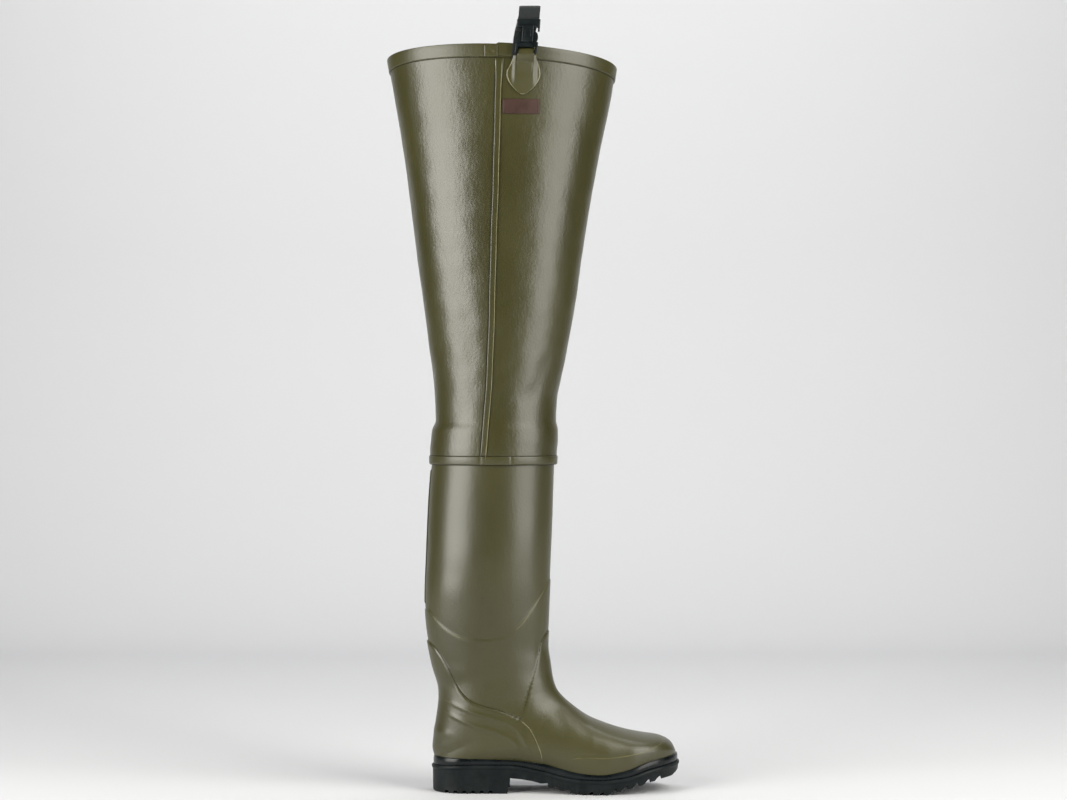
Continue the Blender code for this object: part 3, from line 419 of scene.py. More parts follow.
def bootSection(kind, value):
    # origin, direction, spine place, near and far reach, whether it ends at the feather edge
    if kind == "leg":
        near, far = legReach(value)
        return (pivotX, value), (-1, 0), value - pivotZ, float(near), float(far), False
    if kind == "elbow":
        angle = math.radians(value)
        atEdge = value > cornerTurn - 0.01
        far = reachAt(edgeLine if atEdge else backLine, value)
        way = (-math.cos(angle), -math.sin(angle))
        return boot["pivot"], way, -angle * boot["turnRadius"], reachAt(frontLine, value), far, atEdge
    order = np.argsort(frontLine[:, 0])
    near = pivotZ - float(np.interp(value, frontLine[order, 0], frontLine[order, 1]))
    spine = -math.pi / 2 * boot["turnRadius"] - (value - pivotX)
    return (value, pivotZ), (0, -1), spine, near, pivotZ - float(edgeHeight(value)), True


# the same lines as smooth curves
rise = {
    "arc": smoothLine(panels["arc"]), "counter": smoothLine(panels["counter"]),
    "vamp": smoothLine(panels["vamp"]), "counterFront": smoothLine(panels["counterFront"]),
    "rand": smoothLine(panels["rand"]), "ribs": [smoothLine(rib) for rib in panels["ribs"]],
}
farBack, farFront, farBelow = -90, 330, -30.0


def below(points, leftZ, rightZ):
    # outline of everything under a line
    return ([(farBack, leftZ)] + [tuple(p) for p in points]
            + [(farFront, rightZ), (farFront, farBelow), (farBack, farBelow)])


arcOutline = below(rise["arc"], 226, 262)
sheetEdge = np.vstack([rise["counter"], rise["vamp"]])
vampOutline = below(sheetEdge, 186, 199)
heelEdge = np.vstack([rise["counter"], rise["counterFront"][1:]])
counterOutline = ([(farBack, 186)] + [tuple(p) for p in heelEdge]
                  + [(heelEdge[-1][0], farBelow), (farBack, farBelow)])
randOutline = ([(rise["rand"][0][0], farBelow)] + [tuple(p) for p in rise["rand"]]
               + [(farFront, 72), (farFront, farBelow)])


def step(px, pz, outline, line, width):
    # 0 outside the panel, 1 inside, over the width of its edge
    gap, _ = lineDistance(px, pz, line)
    signed = np.where(insideOutline(px, pz, outline), gap, -gap)
    return fade(signed, -width / 2, width / 2)


def bootRelief(px, pz):
    height = panels["arcRise"] * step(px, pz, arcOutline, rise["arc"], 2.6)
    inVamp = step(px, pz, vampOutline, sheetEdge, 1.2)
    height = height + (panels["vampRise"] - height) * inVamp
    gap, _ = lineDistance(px, pz, sheetEdge)
    height = height - 0.35 * np.exp(-((gap - 0.2) / 1) ** 2) * (1 - inVamp)  # groove at the cut edge
    inRand = step(px, pz, randOutline, rise["rand"], 2.4)
    height = height + (panels["randRise"] - panels["vampRise"]) * inRand
    inCounter = step(px, pz, counterOutline, heelEdge, 1.6)
    height = height + (panels["counterRise"] - panels["vampRise"]) * inCounter * inVamp
    for rib in rise["ribs"]:
        gap, along = lineDistance(px, pz, rib)
        crest = np.exp(-(gap / (panels["ribWidth"] / 2)) ** 2)
        height = height + panels["ribRise"] * crest * fade(along, 0, 0.12) * (1 - fade(along, 0.93, 1))
    for start, end, width, depth in creases:
        gap, along = lineDistance(px, pz, np.array([start, end], dtype=float))
        height = height + depth * np.exp(-(gap / width) ** 2) * (0.35 + 0.65 * np.sin(math.pi * along))
    return height


def bootRing(kind, value, steps, grow, relief=True):
    # from the outer side's far end over the front to the inner side's far end
    origin, way, spine, near, far, atEdge = bootSection(kind, value)
    half, belly, power, seat = (float(tableAt(boot["sections"], spine, c)) for c in (1, 2, 3, 4))
    turn = np.linspace(0, math.pi / 2, steps + 1)
    v = np.concatenate([belly * (1 - np.cos(turn)), belly + (1 - belly) * np.sin(turn[1:])])
    front = v <= belly
    behind = np.clip((v - belly) / (1 - belly), 0, 1)
    share = (value - pivotX) / (toeX - pivotX) if kind == "foot" else 0.0
    calm = calmReach(value) - far if kind == "elbow" else 0.0

    def place(g):
        source = planSource(origin[0] + way[0] * far, edgeInset)
        end = planHalf(source, edgeInset - g) if atEdge else np.zeros_like(v)
        # past the heel corner the growth along the ray dies away, so that no ridge shows there
        keep = float(not atEdge)
        if kind == "elbow":
            keep = 1 - float(fade(value, cornerTurn, cornerTurn + 22))
        farther = far + keep * g
        nearer = near - g * (min(1, (toeX - value) / 12) if kind == "foot" else 1)
        nearer = np.minimum(nearer, farther - 3)
        widest = end * boot["footBulge"]
        gap = half + g - widest
        wider = widest + (gap + np.sqrt(gap * gap + boot["widthBlend"] ** 2)) / 2
        if kind == "foot":
            widest = widest + (wider - widest) * (1 - float(fade(value, 150, 190)))
        else:
            # the heel's width comes in slowly past the corner, and more slowly toward the instep
            ease = fade(value, cornerTurn - 0.01, cornerTurn + 4 + 34 * (1 - v))
            widest = half + g + (wider - half - g) * ease
        lost = 1 - (end / np.maximum(widest, 1e-6)) ** 2
        shape = np.where(front, 1 - (1 - np.minimum(v, belly) / belly) ** power, 1 - lost * behind ** power)
        y = widest * np.sqrt(np.maximum(shape, 0))
        joint = nearer + (farther + calm - nearer) * belly
        r = np.where(front, nearer + (joint - nearer) * v / belly, joint + (farther - joint) * behind)
        x, z = origin[0] + way[0] * r, origin[1] + way[1] * r
        if kind == "foot":
            x = pivotX + (x - pivotX) * (1 + share * g / (toeX - pivotX))
        return x, y, z

    g = np.full(v.shape, grow - seat)
    if relief:
        x, _, z = place(np.zeros_like(v))
        g = g + bootRelief(x, z)
    x, y, z = place(g)
    centre = planCentre(planSource(np.clip(x, planShape["back"], planShape["toe"]), edgeInset))
    centre = centre * fade(-z, -170, -60)
    outer = np.stack([x, centre - y, z], axis=1)[::-1]
    inner = np.stack([x, centre + y, z], axis=1)[1:]
    return np.vstack([outer, inner])


def bootStations():
    # close to even spacing from the top of the leg to the toe
    elbowStep, footSteps = boot["elbowStep"], boot["footSteps"]
    stations = [("leg", z) for z in np.arange(boot["top"], pivotZ + boot["legStep"] / 2, -boot["legStep"])]
    stations += [("elbow", t) for t in np.linspace(0, cornerTurn, max(2, int(cornerTurn / elbowStep)))]
    stations += [("elbow", cornerTurn + beyond) for beyond in (0.25, 0.6, 1)]
    count = max(4, int((90 - cornerTurn - 1.2) / elbowStep))
    stations += [("elbow", cornerTurn + 1.4 + (90 - cornerTurn - 1.4) * i / count) for i in range(count)]
    bend = [math.sin(math.pi / 2 * i / footSteps) for i in range(footSteps + 1)]
    stations += [("foot", pivotX + (toeX - pivotX) * (0.45 * s + 0.55 * i / footSteps))
                 for i, s in enumerate(bend)]
    return stations


def makeBoot():
    stations = bootStations()
    rings = [bootRing(kind, value, boot["ringSteps"], 0) for kind, value in stations]
    # the inside is coarser and has no relief
    inner = [bootRing(kind, value, boot["liningSteps"], -boot["wall"], False)
             for kind, value in stations[::4] + [stations[-1]]]
    print("boot rings", len(rings), "of", len(rings[0]))
    return (addMesh("bootSkin", np.vstack(rings), gridFaces(len(rings), len(rings[0])), bootRubber),
            addMesh("bootLining", np.vstack(inner), gridFaces(len(inner), len(inner[0])), liningFabric))


bootSkinPiece, bootLiningPiece = makeBoot()
finishPiece(bootSkinPiece, "olive_rubber", "upper")
finishPiece(bootLiningPiece, "felt")
print("boot made")


# The sole

sole = {
    "gap": 0.3, "heelBreast": 47, "breastStep": 3, "breastStepZ": 8, "lugDepth": 4.2, "lugLand": 6,
    "upright": 0.25, "groove": 4.5, "heelLugs": (-29.1, 24.4), "heelPitch": 10.7, "heelDepth": 3.2,
    "heelGap": 4.2, "heelLand": 6,
    "arch": ((50, 18.5), (64, 17.2), (77, 15.4), (88, 12.6)),
    "lugs": ((96, 9), (109, 5.6), (123, 2.2), (137, 0), (151, 0), (165, 0), (179, 3.6),
             (192.5, 6.7), (206, 10.2), (220, 14), (234, 17)),
    # inset and drop below the ledge, up the welt
    "side": ((1.3, 5.2), (1, 4.6), (0.4, 4.1), (0.1, 3.3), (0, 2.2), (0.1, 1.2), (0.4, 0.5), (0.9, 0.1),
             (1.8, 0)),
    "toeUnder": ((248.5, 19), (256.7, 24.5)),
}


def treadLine():
    # underside from heel to toe: x, lug height and the height between lugs
    depth, up, x = sole["heelDepth"], sole["upright"], sole["heelLugs"][0]
    line = [(planShape["back"], 0.8, 0.8), (-41, 0, 0), (x, 0, 0)]
    while x < sole["heelLugs"][1] - 1:
        line += [(x + up, depth, depth), (x + sole["heelGap"], depth, depth)]
        x += sole["heelPitch"]
        line += [(x - sole["heelLand"], 0, 0), (x, 0, 0)]
    line += [(x + up, depth, depth), (x + sole["heelGap"], depth, depth), (x + sole["heelGap"] + up, 0, 0)]
    breast, stepZ = sole["heelBreast"], sole["breastStepZ"]
    line += [(breast, 0, 0), (breast + up, stepZ, stepZ), (breast + sole["breastStep"] - up, stepZ, stepZ)]
    line += [(px, z, z) for px, z in sole["arch"]]
    lugs, deep = sole["lugs"], sole["lugDepth"]
    for (px, z), (x2, z2) in zip(lugs, lugs[1:]):
        root = z + deep
        line += [(px - up, root, root), (px, z, root), (px + sole["lugLand"], z + (z2 - z) * 0.3, root),
                 (x2 - 3, (z2 + deep) * 0.8 + z * 0.2, z2 + deep)]
    px, z = lugs[-1]
    line += [(px - up, z + deep, z + deep), (px, z, z)]
    return np.array(line + [(a, b, b) for a, b in sole["toeUnder"]])


def denseStations(extra=()):
    ends = np.cos(np.linspace(0, math.pi / 2, 26))
    heel = planShape["back"] + planShape["heelRound"] * (1 - ends)
    toe = planShape["toe"] - planShape["toeRound"] * (1 - ends)
    found = np.concatenate([heel, np.linspace(heel[-1], toe[-1], 90)[1:-1], toe])
    keep = [x for x in found if all(abs(x - other) > 0.5 for other in extra)]
    return np.array(sorted(set(keep) | set(extra)))


def planPiece(name, layers, material, under=None, extra=()):
    # rings across the foot, the outer side from low to high, then the inner side down again
    xs = denseStations(extra)
    c = planCentre(xs)
    outer, inner = [], []
    for inset, height in layers:
        px, half, z = planX(xs, inset), planHalf(xs, inset), height(xs)
        outer.append(np.stack([px, c - half, z], axis=1))
        inner.append(np.stack([px, c + half, z], axis=1))
    columns = outer + inner[::-1]
    if under is not None:
        px, half = planX(xs, layers[0][0]), planHalf(xs, layers[0][0])
        groove = np.minimum(sole["groove"], half)
        lug, root = under(xs)
        for side, z in ((1, lug), (1, root), (-1, root), (-1, lug)):
            columns.append(np.stack([px, c + side * groove, z], axis=1))
    points = np.stack(columns, axis=1)
    rows, size = points.shape[:2]
    faces = gridFaces(rows, size, wrapColumns=True)
    return addMesh(name, points.reshape(-1, 3), faces, material, sharpAngle=40)


tread = treadLine()


def underside(x):
    return np.interp(x, tread[:, 0], tread[:, 1]), np.interp(x, tread[:, 0], tread[:, 2])


outsoleLayers = [(1.9, lambda x: underside(x)[0]), (1.6, lambda x: underside(x)[0] + 0.35)]
outsoleLayers += [(inset, lambda x, drop=drop: ledge(x) - drop) for inset, drop in sole["side"]]
finishPiece(planPiece("sole", outsoleLayers, soleRubber, underside, tuple(tread[:, 0])),
            "black_rubber", "outsole")


def bed(lift):
    return lambda x: feather(x) - planShape["edgeDrop"] + lift


def bandHeight(share):
    return lambda x: ledge(x) + sole["gap"] + (feather(x) - 0.7 - ledge(x) - sole["gap"]) * share


foxingLayers = [(bandInset - 0.45 * math.sin(math.pi * s), bandHeight(s)) for s in np.linspace(0, 1, 9)]
foxingLayers += [(bandInset + 0.25, lambda x: feather(x) - 0.3), (bandInset + 0.8, feather),
                 (edgeInset - 0.3, feather), (edgeInset - 0.3, bed(-0.3))]
finishPiece(planPiece("foxingBand", foxingLayers, glossRubber), "black_gloss_rubber", "midsole")


insoleLayers = ((edgeInset + 5.2, bed(0)), (edgeInset + 5.2, bed(3.2)), (edgeInset + 5.6, bed(3.8)),
                (edgeInset + 6.4, bed(4)))
finishPiece(planPiece("insoleFelt", insoleLayers, feltFabric), "felt", "insole")
print("sole made")


# The thigh

thigh = {
    # height, back, front, half-width
    "rows": ((396, -46.4, 106.8, 61.2), (412, -46.7, 107.6, 62.2), (424, -45.6, 108.8, 62.2),
             (436, -44.3, 108.8, 61.6), (448, -39.8, 106.5, 59.6), (472, -40.6, 107.5, 60),
             (497, -41.9, 112.4, 61.5), (533, -46.7, 119.7, 63.5), (594, -55.2, 130.6, 67.5),
             (655, -63.7, 139.1, 71.5), (715, -71.2, 148.8, 75.5), (776, -79.8, 159.8, 79.5),
             (849, -92.5, 174.3, 85), (878, -97.4, 178.8, 87)),
    "wall": 1.5, "middle": 40, "top": 878, "low": 396, "sides": 300, "gap": 0.3, "bindingThick": 1.2,
    "rimTilt": (-0.036, -0.155), "rimFade": (690, 878),
}
# soft folds: level and angle in degrees at each end, half-width, height
thighFolds = (
    ((450, 200), (560, 172), 12, 0.9),
    ((455, 60), (540, 38), 12, -0.9),
    ((470, 110), (640, 122), 13, -0.7),
    ((520, 62), (760, 50), 20, 0.9),
    ((560, 140), (850, 150), 20, 0.8),
    ((620, 88), (860, 80), 16, -0.7),
    ((600, 165), (830, 172), 14, -0.8),
    ((660, 30), (860, 24), 14, -0.8),
    ((470, 300), (820, 285), 22, -0.9),
    ((520, 250), (860, 240), 20, 0.8),
)


def thighLift(level, x, y):
    tiltX, tiltY = thigh["rimTilt"]
    return fade(level, *thigh["rimFade"]) * (tiltX * (x - thigh["middle"]) + tiltY * y)


def thighSize(level, grow):
    back, front, half = (tableAt(thigh["rows"], level, c) for c in (1, 2, 3))
    return (back + front) / 2, (front - back) / 2 + grow, half + grow


def thighRelief(level, angle):
    # degrees times a mean factor stand in for the distance round the leg
    height = np.zeros(np.broadcast(level, angle).shape)
    around = np.degrees(angle) * 1.4
    for (z1, a1), (z2, a2), width, depth in thighFolds:
        line = np.array([(a1 * 1.4, z1), (a2 * 1.4, z2)])
        gap, along = lineDistance(around, level, line)
        height = height + depth * np.exp(-(gap / width) ** 2) * np.sin(math.pi * np.clip(along, 0.04, 0.96))
    ripple = np.sin(level / 9.0 + 2.0 * np.sin(angle * 3)) * np.sin(angle * 5 + level / 37)
    ripple = ripple + 0.6 * np.sin(level / 5.3 + 1.7 * np.sin(angle * 4 + 1)) * np.sin(angle * 9 + level / 23)
    calm = fade(level, 440, 470) * (1 - fade(level, 850, 868))
    return height * calm + 0.16 * ripple * fade(level, 436, 460) * (1 - fade(level, 858, 870))


def thighAt(level, angle, grow):
    # the angle turns from the toe side, through the outer side, to the back
    middle, reachX, half = thighSize(level, grow)
    x, y = middle + reachX * np.cos(angle), -half * np.sin(angle)
    return np.stack([x, y, level + thighLift(level, x, y)], axis=-1)


def thighSide(x, z, grow):
    # point of the outer side at this x and true height
    level = z
    for _ in range(12):
        middle, reachX, half = thighSize(level, grow)
        y = -half * np.sqrt(np.maximum(0, 1 - ((x - middle) / reachX) ** 2))
        level = z - thighLift(level, x, y)
    return x, y, z


def turnedPiece(name, profile, material, sharpAngle=None, change=None):
    # closed profile of levels and growths, carried round the thigh
    angles = np.linspace(0, 2 * math.pi, thigh["sides"], endpoint=False)
    rows = []
    for level, grow in profile:
        levels = np.full(angles.shape, level)
        rows.append(thighAt(levels, angles, grow + (change(levels, angles, grow) if change else 0)))
    faces = gridFaces(len(rows), len(angles), wrapRows=True, wrapColumns=True)
    return addMesh(name, np.vstack(rows), faces, material, sharpAngle=sharpAngle)


outerLevels = np.arange(thigh["low"], thigh["top"] + 0.1, 482.0 / 190)
thighProfile = [(z, 0) for z in outerLevels] + [(z, -thigh["wall"]) for z in outerLevels[::-3]]
if thighProfile[-1][0] != thigh["low"]:
    thighProfile.append((thigh["low"], -thigh["wall"]))
finishPiece(turnedPiece("thighSkin", thighProfile, thighRubber, 60,
                        lambda levels, angles, grow: thighRelief(levels, angles)),
            "olive_thin_rubber", "thigh_shaft")


def bandNotch(levels, angles, grow):
    # two short joints across the band, on the outer side
    x = thighAt(levels, angles, 0)[..., 0]
    outer = (np.sin(angles) > 0) * (grow > 0.8)
    return -0.7 * outer * (np.exp(-((x - 15.3) / 0.9) ** 2) + np.exp(-((x - 52.2) / 0.9) ** 2))


bandProfile = ((395, 0.3), (395.1, 0.8), (395.5, 1.15), (396.2, 1.3), (400, 1.35), (403.8, 1.3),
               (404.5, 1.15), (404.9, 0.8), (405, 0.3))
finishPiece(turnedPiece("kneeBand", bandProfile, bootRubber, 60, bandNotch), "olive_thin_rubber", "knee_band")
top, rimGap, bindingThick = thigh["top"], thigh["gap"], thigh["bindingThick"]
turned = [(top + rimGap + 0.2 + 1.0 * math.sin(t), -0.75 + (1.05 + bindingThick) * math.cos(t))
          for t in np.linspace(0, math.pi, 13)]
bindingProfile = ([(top - 14, 0.3), (top - 13.95, 0.9), (top - 13.6, 1.35), (top - 13, 1.5),
                   (top - 10, 1.45), (top - 5, 1.5)] + turned
                  + [(top - 4, -3), (top - 9, -3), (top - 9, -1.8), (top + rimGap, -1.8),
                     (top + rimGap, 0.3)])
bindingPiece = turnedPiece("collarBinding", bindingProfile, bootRubber, 50)
for vertex in bindingPiece.data.vertices:
    # to the front of the lap the outer side stands a little higher
    x, y, z = vertex.co / mm
    if x > 36.6 and y < 0:
        vertex.co.z += 1.6 * mm * float((1 - fade(x, 36.6, 110)) * fade(-y, 30, 70))
finishPiece(bindingPiece, "olive_thin_rubber", "collar_binding")
print("thigh made")


# Flat pieces that follow the outer side

def plate(name, rows, columns, place, thick, material, sharpAngle=55):
    # top and underside on the same grid, drawn together at the rim
    u, v = np.meshgrid(np.linspace(0, 1, columns), np.linspace(0, 1, rows))
    high, low = place(u, v, thick(u, v)), place(u, v, np.zeros_like(u))
    faces = gridFaces(rows, columns)
    count = rows * columns
    faces += [tuple(q + count for q in face[::-1]) for face in faces]
    rim = ([j for j in range(columns)] + [i * columns + columns - 1 for i in range(1, rows)]
           + [count - 1 - j for j in range(1, columns)] + [i * columns for i in range(rows - 2, 0, -1)])
    faces += [(a, b, b + count, a + count) for a, b in zip(rim, rim[1:] + rim[:1])]
    points = np.vstack([high.reshape(-1, 3), low.reshape(-1, 3)])
    return addMesh(name, points, faces, material, sharpAngle=sharpAngle)


def edged(u, v, thick, across, along):
    # full thickness inside, rounded off over these shares at the rim
    side = np.minimum(np.minimum(u, 1 - u) / across, 1)
    end = np.minimum(np.minimum(v, 1 - v) / along, 1)
    return thick * (0.35 + 0.65 * np.sqrt(1 - (1 - np.minimum(side, end)) ** 2))


def bindingRise(z):
    return fade(z, 866.5, 876.5) * (bindingThick + rimGap)


seam = {"rows": ((400, 18.6), (496, 26.3), (690, 32.8), (880, 38.8)), "width": 7.4, "low": 407,
        "high": 875.4}


def seamMiddle(z):
    # a hand-laid strip wanders a little
    return tableAt(seam["rows"], z, 1) + 0.3 * np.sin(z / 17) * np.sin(z / 41)


def seamPlace(u, v, h):
    z = seam["low"] + (seam["high"] - seam["low"]) * v
    flare = 1 + 0.35 * fade(z, 846, 872)
    x = seamMiddle(z) + (u - 0.5) * seam["width"] * flare
    return np.stack(thighSide(x, z, rimGap + h + 0.12), axis=-1)


def seamThick(u, v):
    thick = edged(u, v, 0.95, 0.16, 0.004)
    return thick + 0.12 * np.exp(-((u - 0.86) / 0.08) ** 2)


finishPiece(plate("sideSeam", 240, 13, seamPlace, seamThick, thighRubber), "olive_thin_rubber", "side_seam")


lap = {"x": 20.6, "wide": 16.2, "low": 877.7, "high": 13.7}


def lapPlace(u, v, h):
    x, z = lap["x"] + lap["wide"] * u, lap["low"] + lap["high"] * v
    return np.stack(thighSide(x, z, bindingThick + 2 * rimGap + h), axis=-1)


def lapThick(u, v):
    # a dimple in the middle, where it is pressed down
    return edged(u, v, 0.95, 0.06, 0.08) - 0.45 * np.exp(-((u - 0.52) / 0.16) ** 2 - ((v - 0.45) / 0.14) ** 2)


finishPiece(plate("collarLap", 30, 24, lapPlace, lapThick, bootRubber), "olive_thin_rubber", "collar_lap")
strip = {"low": 226, "high": 162, "wide": 13.0}


def backPlace(u, v, h):
    z = strip["low"] + strip["high"] * v
    y = (u - 0.5) * strip["wide"]
    near, far = legReach(z)
    half, belly, power, seat = (tableAt(boot["sections"], z - pivotZ, c) for c in (1, 2, 3, 4))
    share = belly + (1 - belly) * (1 - (np.abs(y) / half) ** 2) ** (1 / power)
    return np.stack([pivotX - near - (far - near) * share - 0.3 - h + seat, y, z], axis=-1)


finishPiece(plate("backStrip", 90, 13, backPlace, lambda u, v: edged(u, v, 0.8, 0.12, 0.01), bootRubber),
            "olive_rubber", "back_strip")


# Patch, label, webbing, tongue and buckle

loop = {"x": 68, "z": 846, "lean": 0.075, "top": 937, "gap": 8, "webThick": 1.6, "webWidth": 25,
        "patchThick": 1.3, "tongueWidth": 19.0}
# height, back edge, front edge
patchRows = ((833, 65.2, 67.8), (838, 58.4, 74.6), (843.5, 53, 81), (850, 48.6, 85.6), (857, 46.6, 87.8),
             (862.5, 47.6, 87.4), (866.5, 50, 86.4), (869, 51.4, 85.4), (871.5, 52.6, 84.6),
             (874, 53.6, 83.8), (876.5, 54.4, 83.2), (879.6, 55, 82.6))


def loopX(z):
    return loop["x"] + loop["lean"] * (z - loop["z"]) * fade(z, loop["z"], 900)


def patchPlace(u, v, h):
    z = patchRows[0][0] + (patchRows[-1][0] - patchRows[0][0]) * v
    left, right = tableAt(patchRows, z, 1), tableAt(patchRows, z, 2)
    x = left + (right - left) * u
    side = np.abs(x - loopX(z))
    overWeb = (1 - fade(side, 9.8, 16.2)) * fade(z, 836, 856)
    grow = rimGap + bindingRise(z) + overWeb * (loop["webThick"] + rimGap) + h
    return np.stack(thighSide(x, z, grow), axis=-1)


def patchThick(u, v):
    return edged(u, v, loop["patchThick"], 0.05, 0.035)


finishPiece(plate("strapPatch", 90, 90, patchPlace, patchThick, bootRubber), "olive_rubber", "strap_patch")


label = {"x": 42.4, "z": 811, "wide": 44, "high": 17.5, "corner": 1.6, "cornerShare": 0.09}


def labelPlace(u, v, h):
    # round corners: rows near the ends are drawn in
    corner = np.maximum(0, 1 - np.minimum(v, 1 - v) / label["cornerShare"])
    inset = label["corner"] * (1 - np.sqrt(1 - corner ** 2))
    x = label["x"] + inset + (label["wide"] - 2 * inset) * u
    return np.stack(thighSide(x, label["z"] + label["high"] * v, rimGap + h), axis=-1)


def labelThick(u, v):
    # a fine raised border just inside the rim
    inside = np.minimum(np.minimum(u, 1 - u) * label["wide"], np.minimum(v, 1 - v) * label["high"])
    return edged(u, v, 0.75, 0.02, 0.05) + 0.16 * np.exp(-((inside - 1.7) / 0.4) ** 2)


finishPiece(plate("labelPlate", 50, 110, labelPlace, labelThick, brownPlate), "brown_label", "label_plate")
backPly = float(thighSide(loopX(890), 890, 0)[1]) - 2 * rimGap - loop["webThick"] / 2 - bindingThick


def ribbon(name, path, width, thick, follow, material, columns=17, rim=0.12, taper=None, drift=None):
    # a flat strap whose middle follows a path of y and z, with rounded edges
    path = np.array(path)
    ways = np.gradient(path, axis=0)
    ways /= np.linalg.norm(ways, axis=1)[:, None]
    sides = np.stack([-ways[:, 1], ways[:, 0]], axis=1) * thick / 2
    across = np.linspace(-0.5, 0.5, columns)
    roundOff = np.sqrt(1 - np.clip((np.abs(across) - 0.5 + rim) / rim, 0, 1) ** 2) * 0.7 + 0.3
    rows = []
    for (y, z), (dy, dz) in zip(path, sides):
        if taper:
            share = float(taper(z))
            y, dy, dz = y + (1 - share) * 1.3, dy * share, dz * share
        middle = float(loopX(z)) + (drift(y, z) if drift else 0)
        bend = (thighSide(middle + across * width, np.full(columns, z), 0)[1]
                - float(thighSide(middle, z, 0)[1])) * float(follow(z))
        outer = np.stack([middle + across * width, y + dy * roundOff + bend, z + dz * roundOff], axis=1)
        inner = np.stack([middle + across * width, y - dy * roundOff + bend, z - dz * roundOff], axis=1)
        rows.append(np.vstack([outer, inner[::-1]]))
    size = rows[0].shape[0]
    faces = gridFaces(len(rows), size, wrapColumns=True)
    faces += [tuple(range(size)), tuple(range((len(rows) - 1) * size, len(rows) * size))]
    return addMesh(name, np.vstack(rows), faces, material, sharpAngle=60)


frontPly = backPly - loop["gap"]
webPath = []
for z in np.arange(850, 901, 2.5):
    lift = rimGap + loop["webThick"] / 2 + float(bindingRise(z))
    webPath.append((float(thighSide(loopX(z), z, 0)[1]) - lift, z))
radius = loop["gap"] / 2
foldZ = loop["top"] - radius - loop["webThick"] / 2
webPath += [(backPly, z) for z in (908, 914, 920, 926)]
webPath += [(backPly - radius + radius * math.cos(t), foldZ + radius * math.sin(t))
            for t in np.linspace(0, math.pi, 17)]
webPath += [(frontPly, 928), (frontPly, 924), (frontPly, 920.7)]


def webDrift(y, z):
    # the ply behind the buckle hangs a little to the back
    behind = float(fade(y, frontPly + 2, backPly - 2))
    return -4.2 * behind * float(fade(z, 852, 886) * (1 - fade(z, 898, 930)))


finishPiece(ribbon("beltWebbing", webPath, loop["webWidth"], loop["webThick"],
                   lambda z: 1 - fade(z, 894, 908), webFabric, drift=webDrift),
            "black_webbing", "belt_webbing")
buckle = {"top": 920.4, "neck": 910.4, "split": 893.2, "foot": 880.2, "width": 27.6, "depth": 8.4,
          "spine": 13.4, "slotLift": 4.6, "slotHigh": 3, "slotWidth": 20.5, "bar": 3.4}
buckleBack = backPly - loop["gap"] + buckle["depth"] / 2
buckleFront = buckleBack - buckle["depth"]
tonguePath = []
for z in (858, 862.5, 866.5, 869, 871):
    lift = 3 * rimGap + loop["webThick"] + 1.5 * loop["patchThick"] + float(bindingRise(z)) + 0.25
    tonguePath.append((float(thighSide(loopX(z), z, 0)[1]) - lift, z))
bar = buckleBack - buckle["bar"] - rimGap - loop["patchThick"] / 2
tonguePath += [(bar + 2.6, 875.5), (bar + 0.3, 879.3), (bar, 882.5), (bar + 0.3, 885.2), (bar + 1.5, 886.3),
               (bar + 3, 886.4)]
finishPiece(ribbon("strapTongue", smoothLine(tonguePath, 5), loop["tongueWidth"], loop["patchThick"],
                   lambda z: 1 - fade(z, 868, 879), bootRubber, rim=0.06,
                   taper=lambda z: 0.05 + 0.95 * fade(z, 857, 871)), "olive_rubber", "strap_tongue")


def block(name, xHalf, yRange, zRange, middle=0.0, bevel=0.6, material=None, taper=1.0):
    points = []
    for z, share in zip(zRange, (1, taper)):
        x = float(loopX(z)) + middle
        points += [(x - xHalf * share, yRange[0], z), (x + xHalf * share, yRange[0], z),
                   (x + xHalf * share, yRange[1], z), (x - xHalf * share, yRange[1], z)]
    faces = [(0, 1, 2, 3), (7, 6, 5, 4)] + [(a, (a + 1) % 4, (a + 1) % 4 + 4, a + 4) for a in range(4)]
    made = addMesh(name, points, faces, material or buckleResin, smooth=False)
    if bevel:
        edge = made.modifiers.new("edges", "BEVEL")
        edge.width = bevel * mm
        edge.segments = 4
    return made


def prong(side, inner, yRange, zRange):
    # a springy arm that bows outwards
    middleZ, half = sum(zRange) / 2, (zRange[1] - zRange[0]) / 2
    outline = [(inner, zRange[0]), (inner, zRange[1])]
    for turn in np.linspace(math.pi / 2, -math.pi / 2, 15):
        outline.append((inner + 1.2 + 4.0 * math.cos(turn), middleZ + half * math.sin(turn)))
    count = len(outline)
    points = [(float(loopX(z)) + side * x, y, z) for y in yRange for x, z in outline]
    faces = [tuple(range(count)), tuple(range(2 * count - 1, count - 1, -1))]
    faces += [(a, (a + 1) % count, (a + 1) % count + count, a + count) for a in range(count)]
    return addMesh("prong", points, faces, buckleResin, smooth=False)


def joined(name, blocks, cutters=()):
    # one shell: the blocks as a union, less the cutters
    first = blocks[0]
    for other, operation in [(b, "UNION") for b in blocks[1:]] + [(c, "DIFFERENCE") for c in cutters]:
        modifier = first.modifiers.new(operation, "BOOLEAN")
        modifier.operation, modifier.object, modifier.solver = operation, other, "EXACT"
    graph = bpy.context.evaluated_depsgraph_get()
    mesh = bpy.data.meshes.new_from_object(first.evaluated_get(graph))
    mesh.materials.clear()
    mesh.materials.append(buckleResin)
    mesh.shade_smooth()
    mesh.set_sharp_from_angle(angle=math.radians(35))
    for helper in list(blocks) + list(cutters):
        bpy.data.objects.remove(helper)
    made = bpy.data.objects.new(name, mesh)
    bpy.context.scene.collection.objects.link(made)
    return made


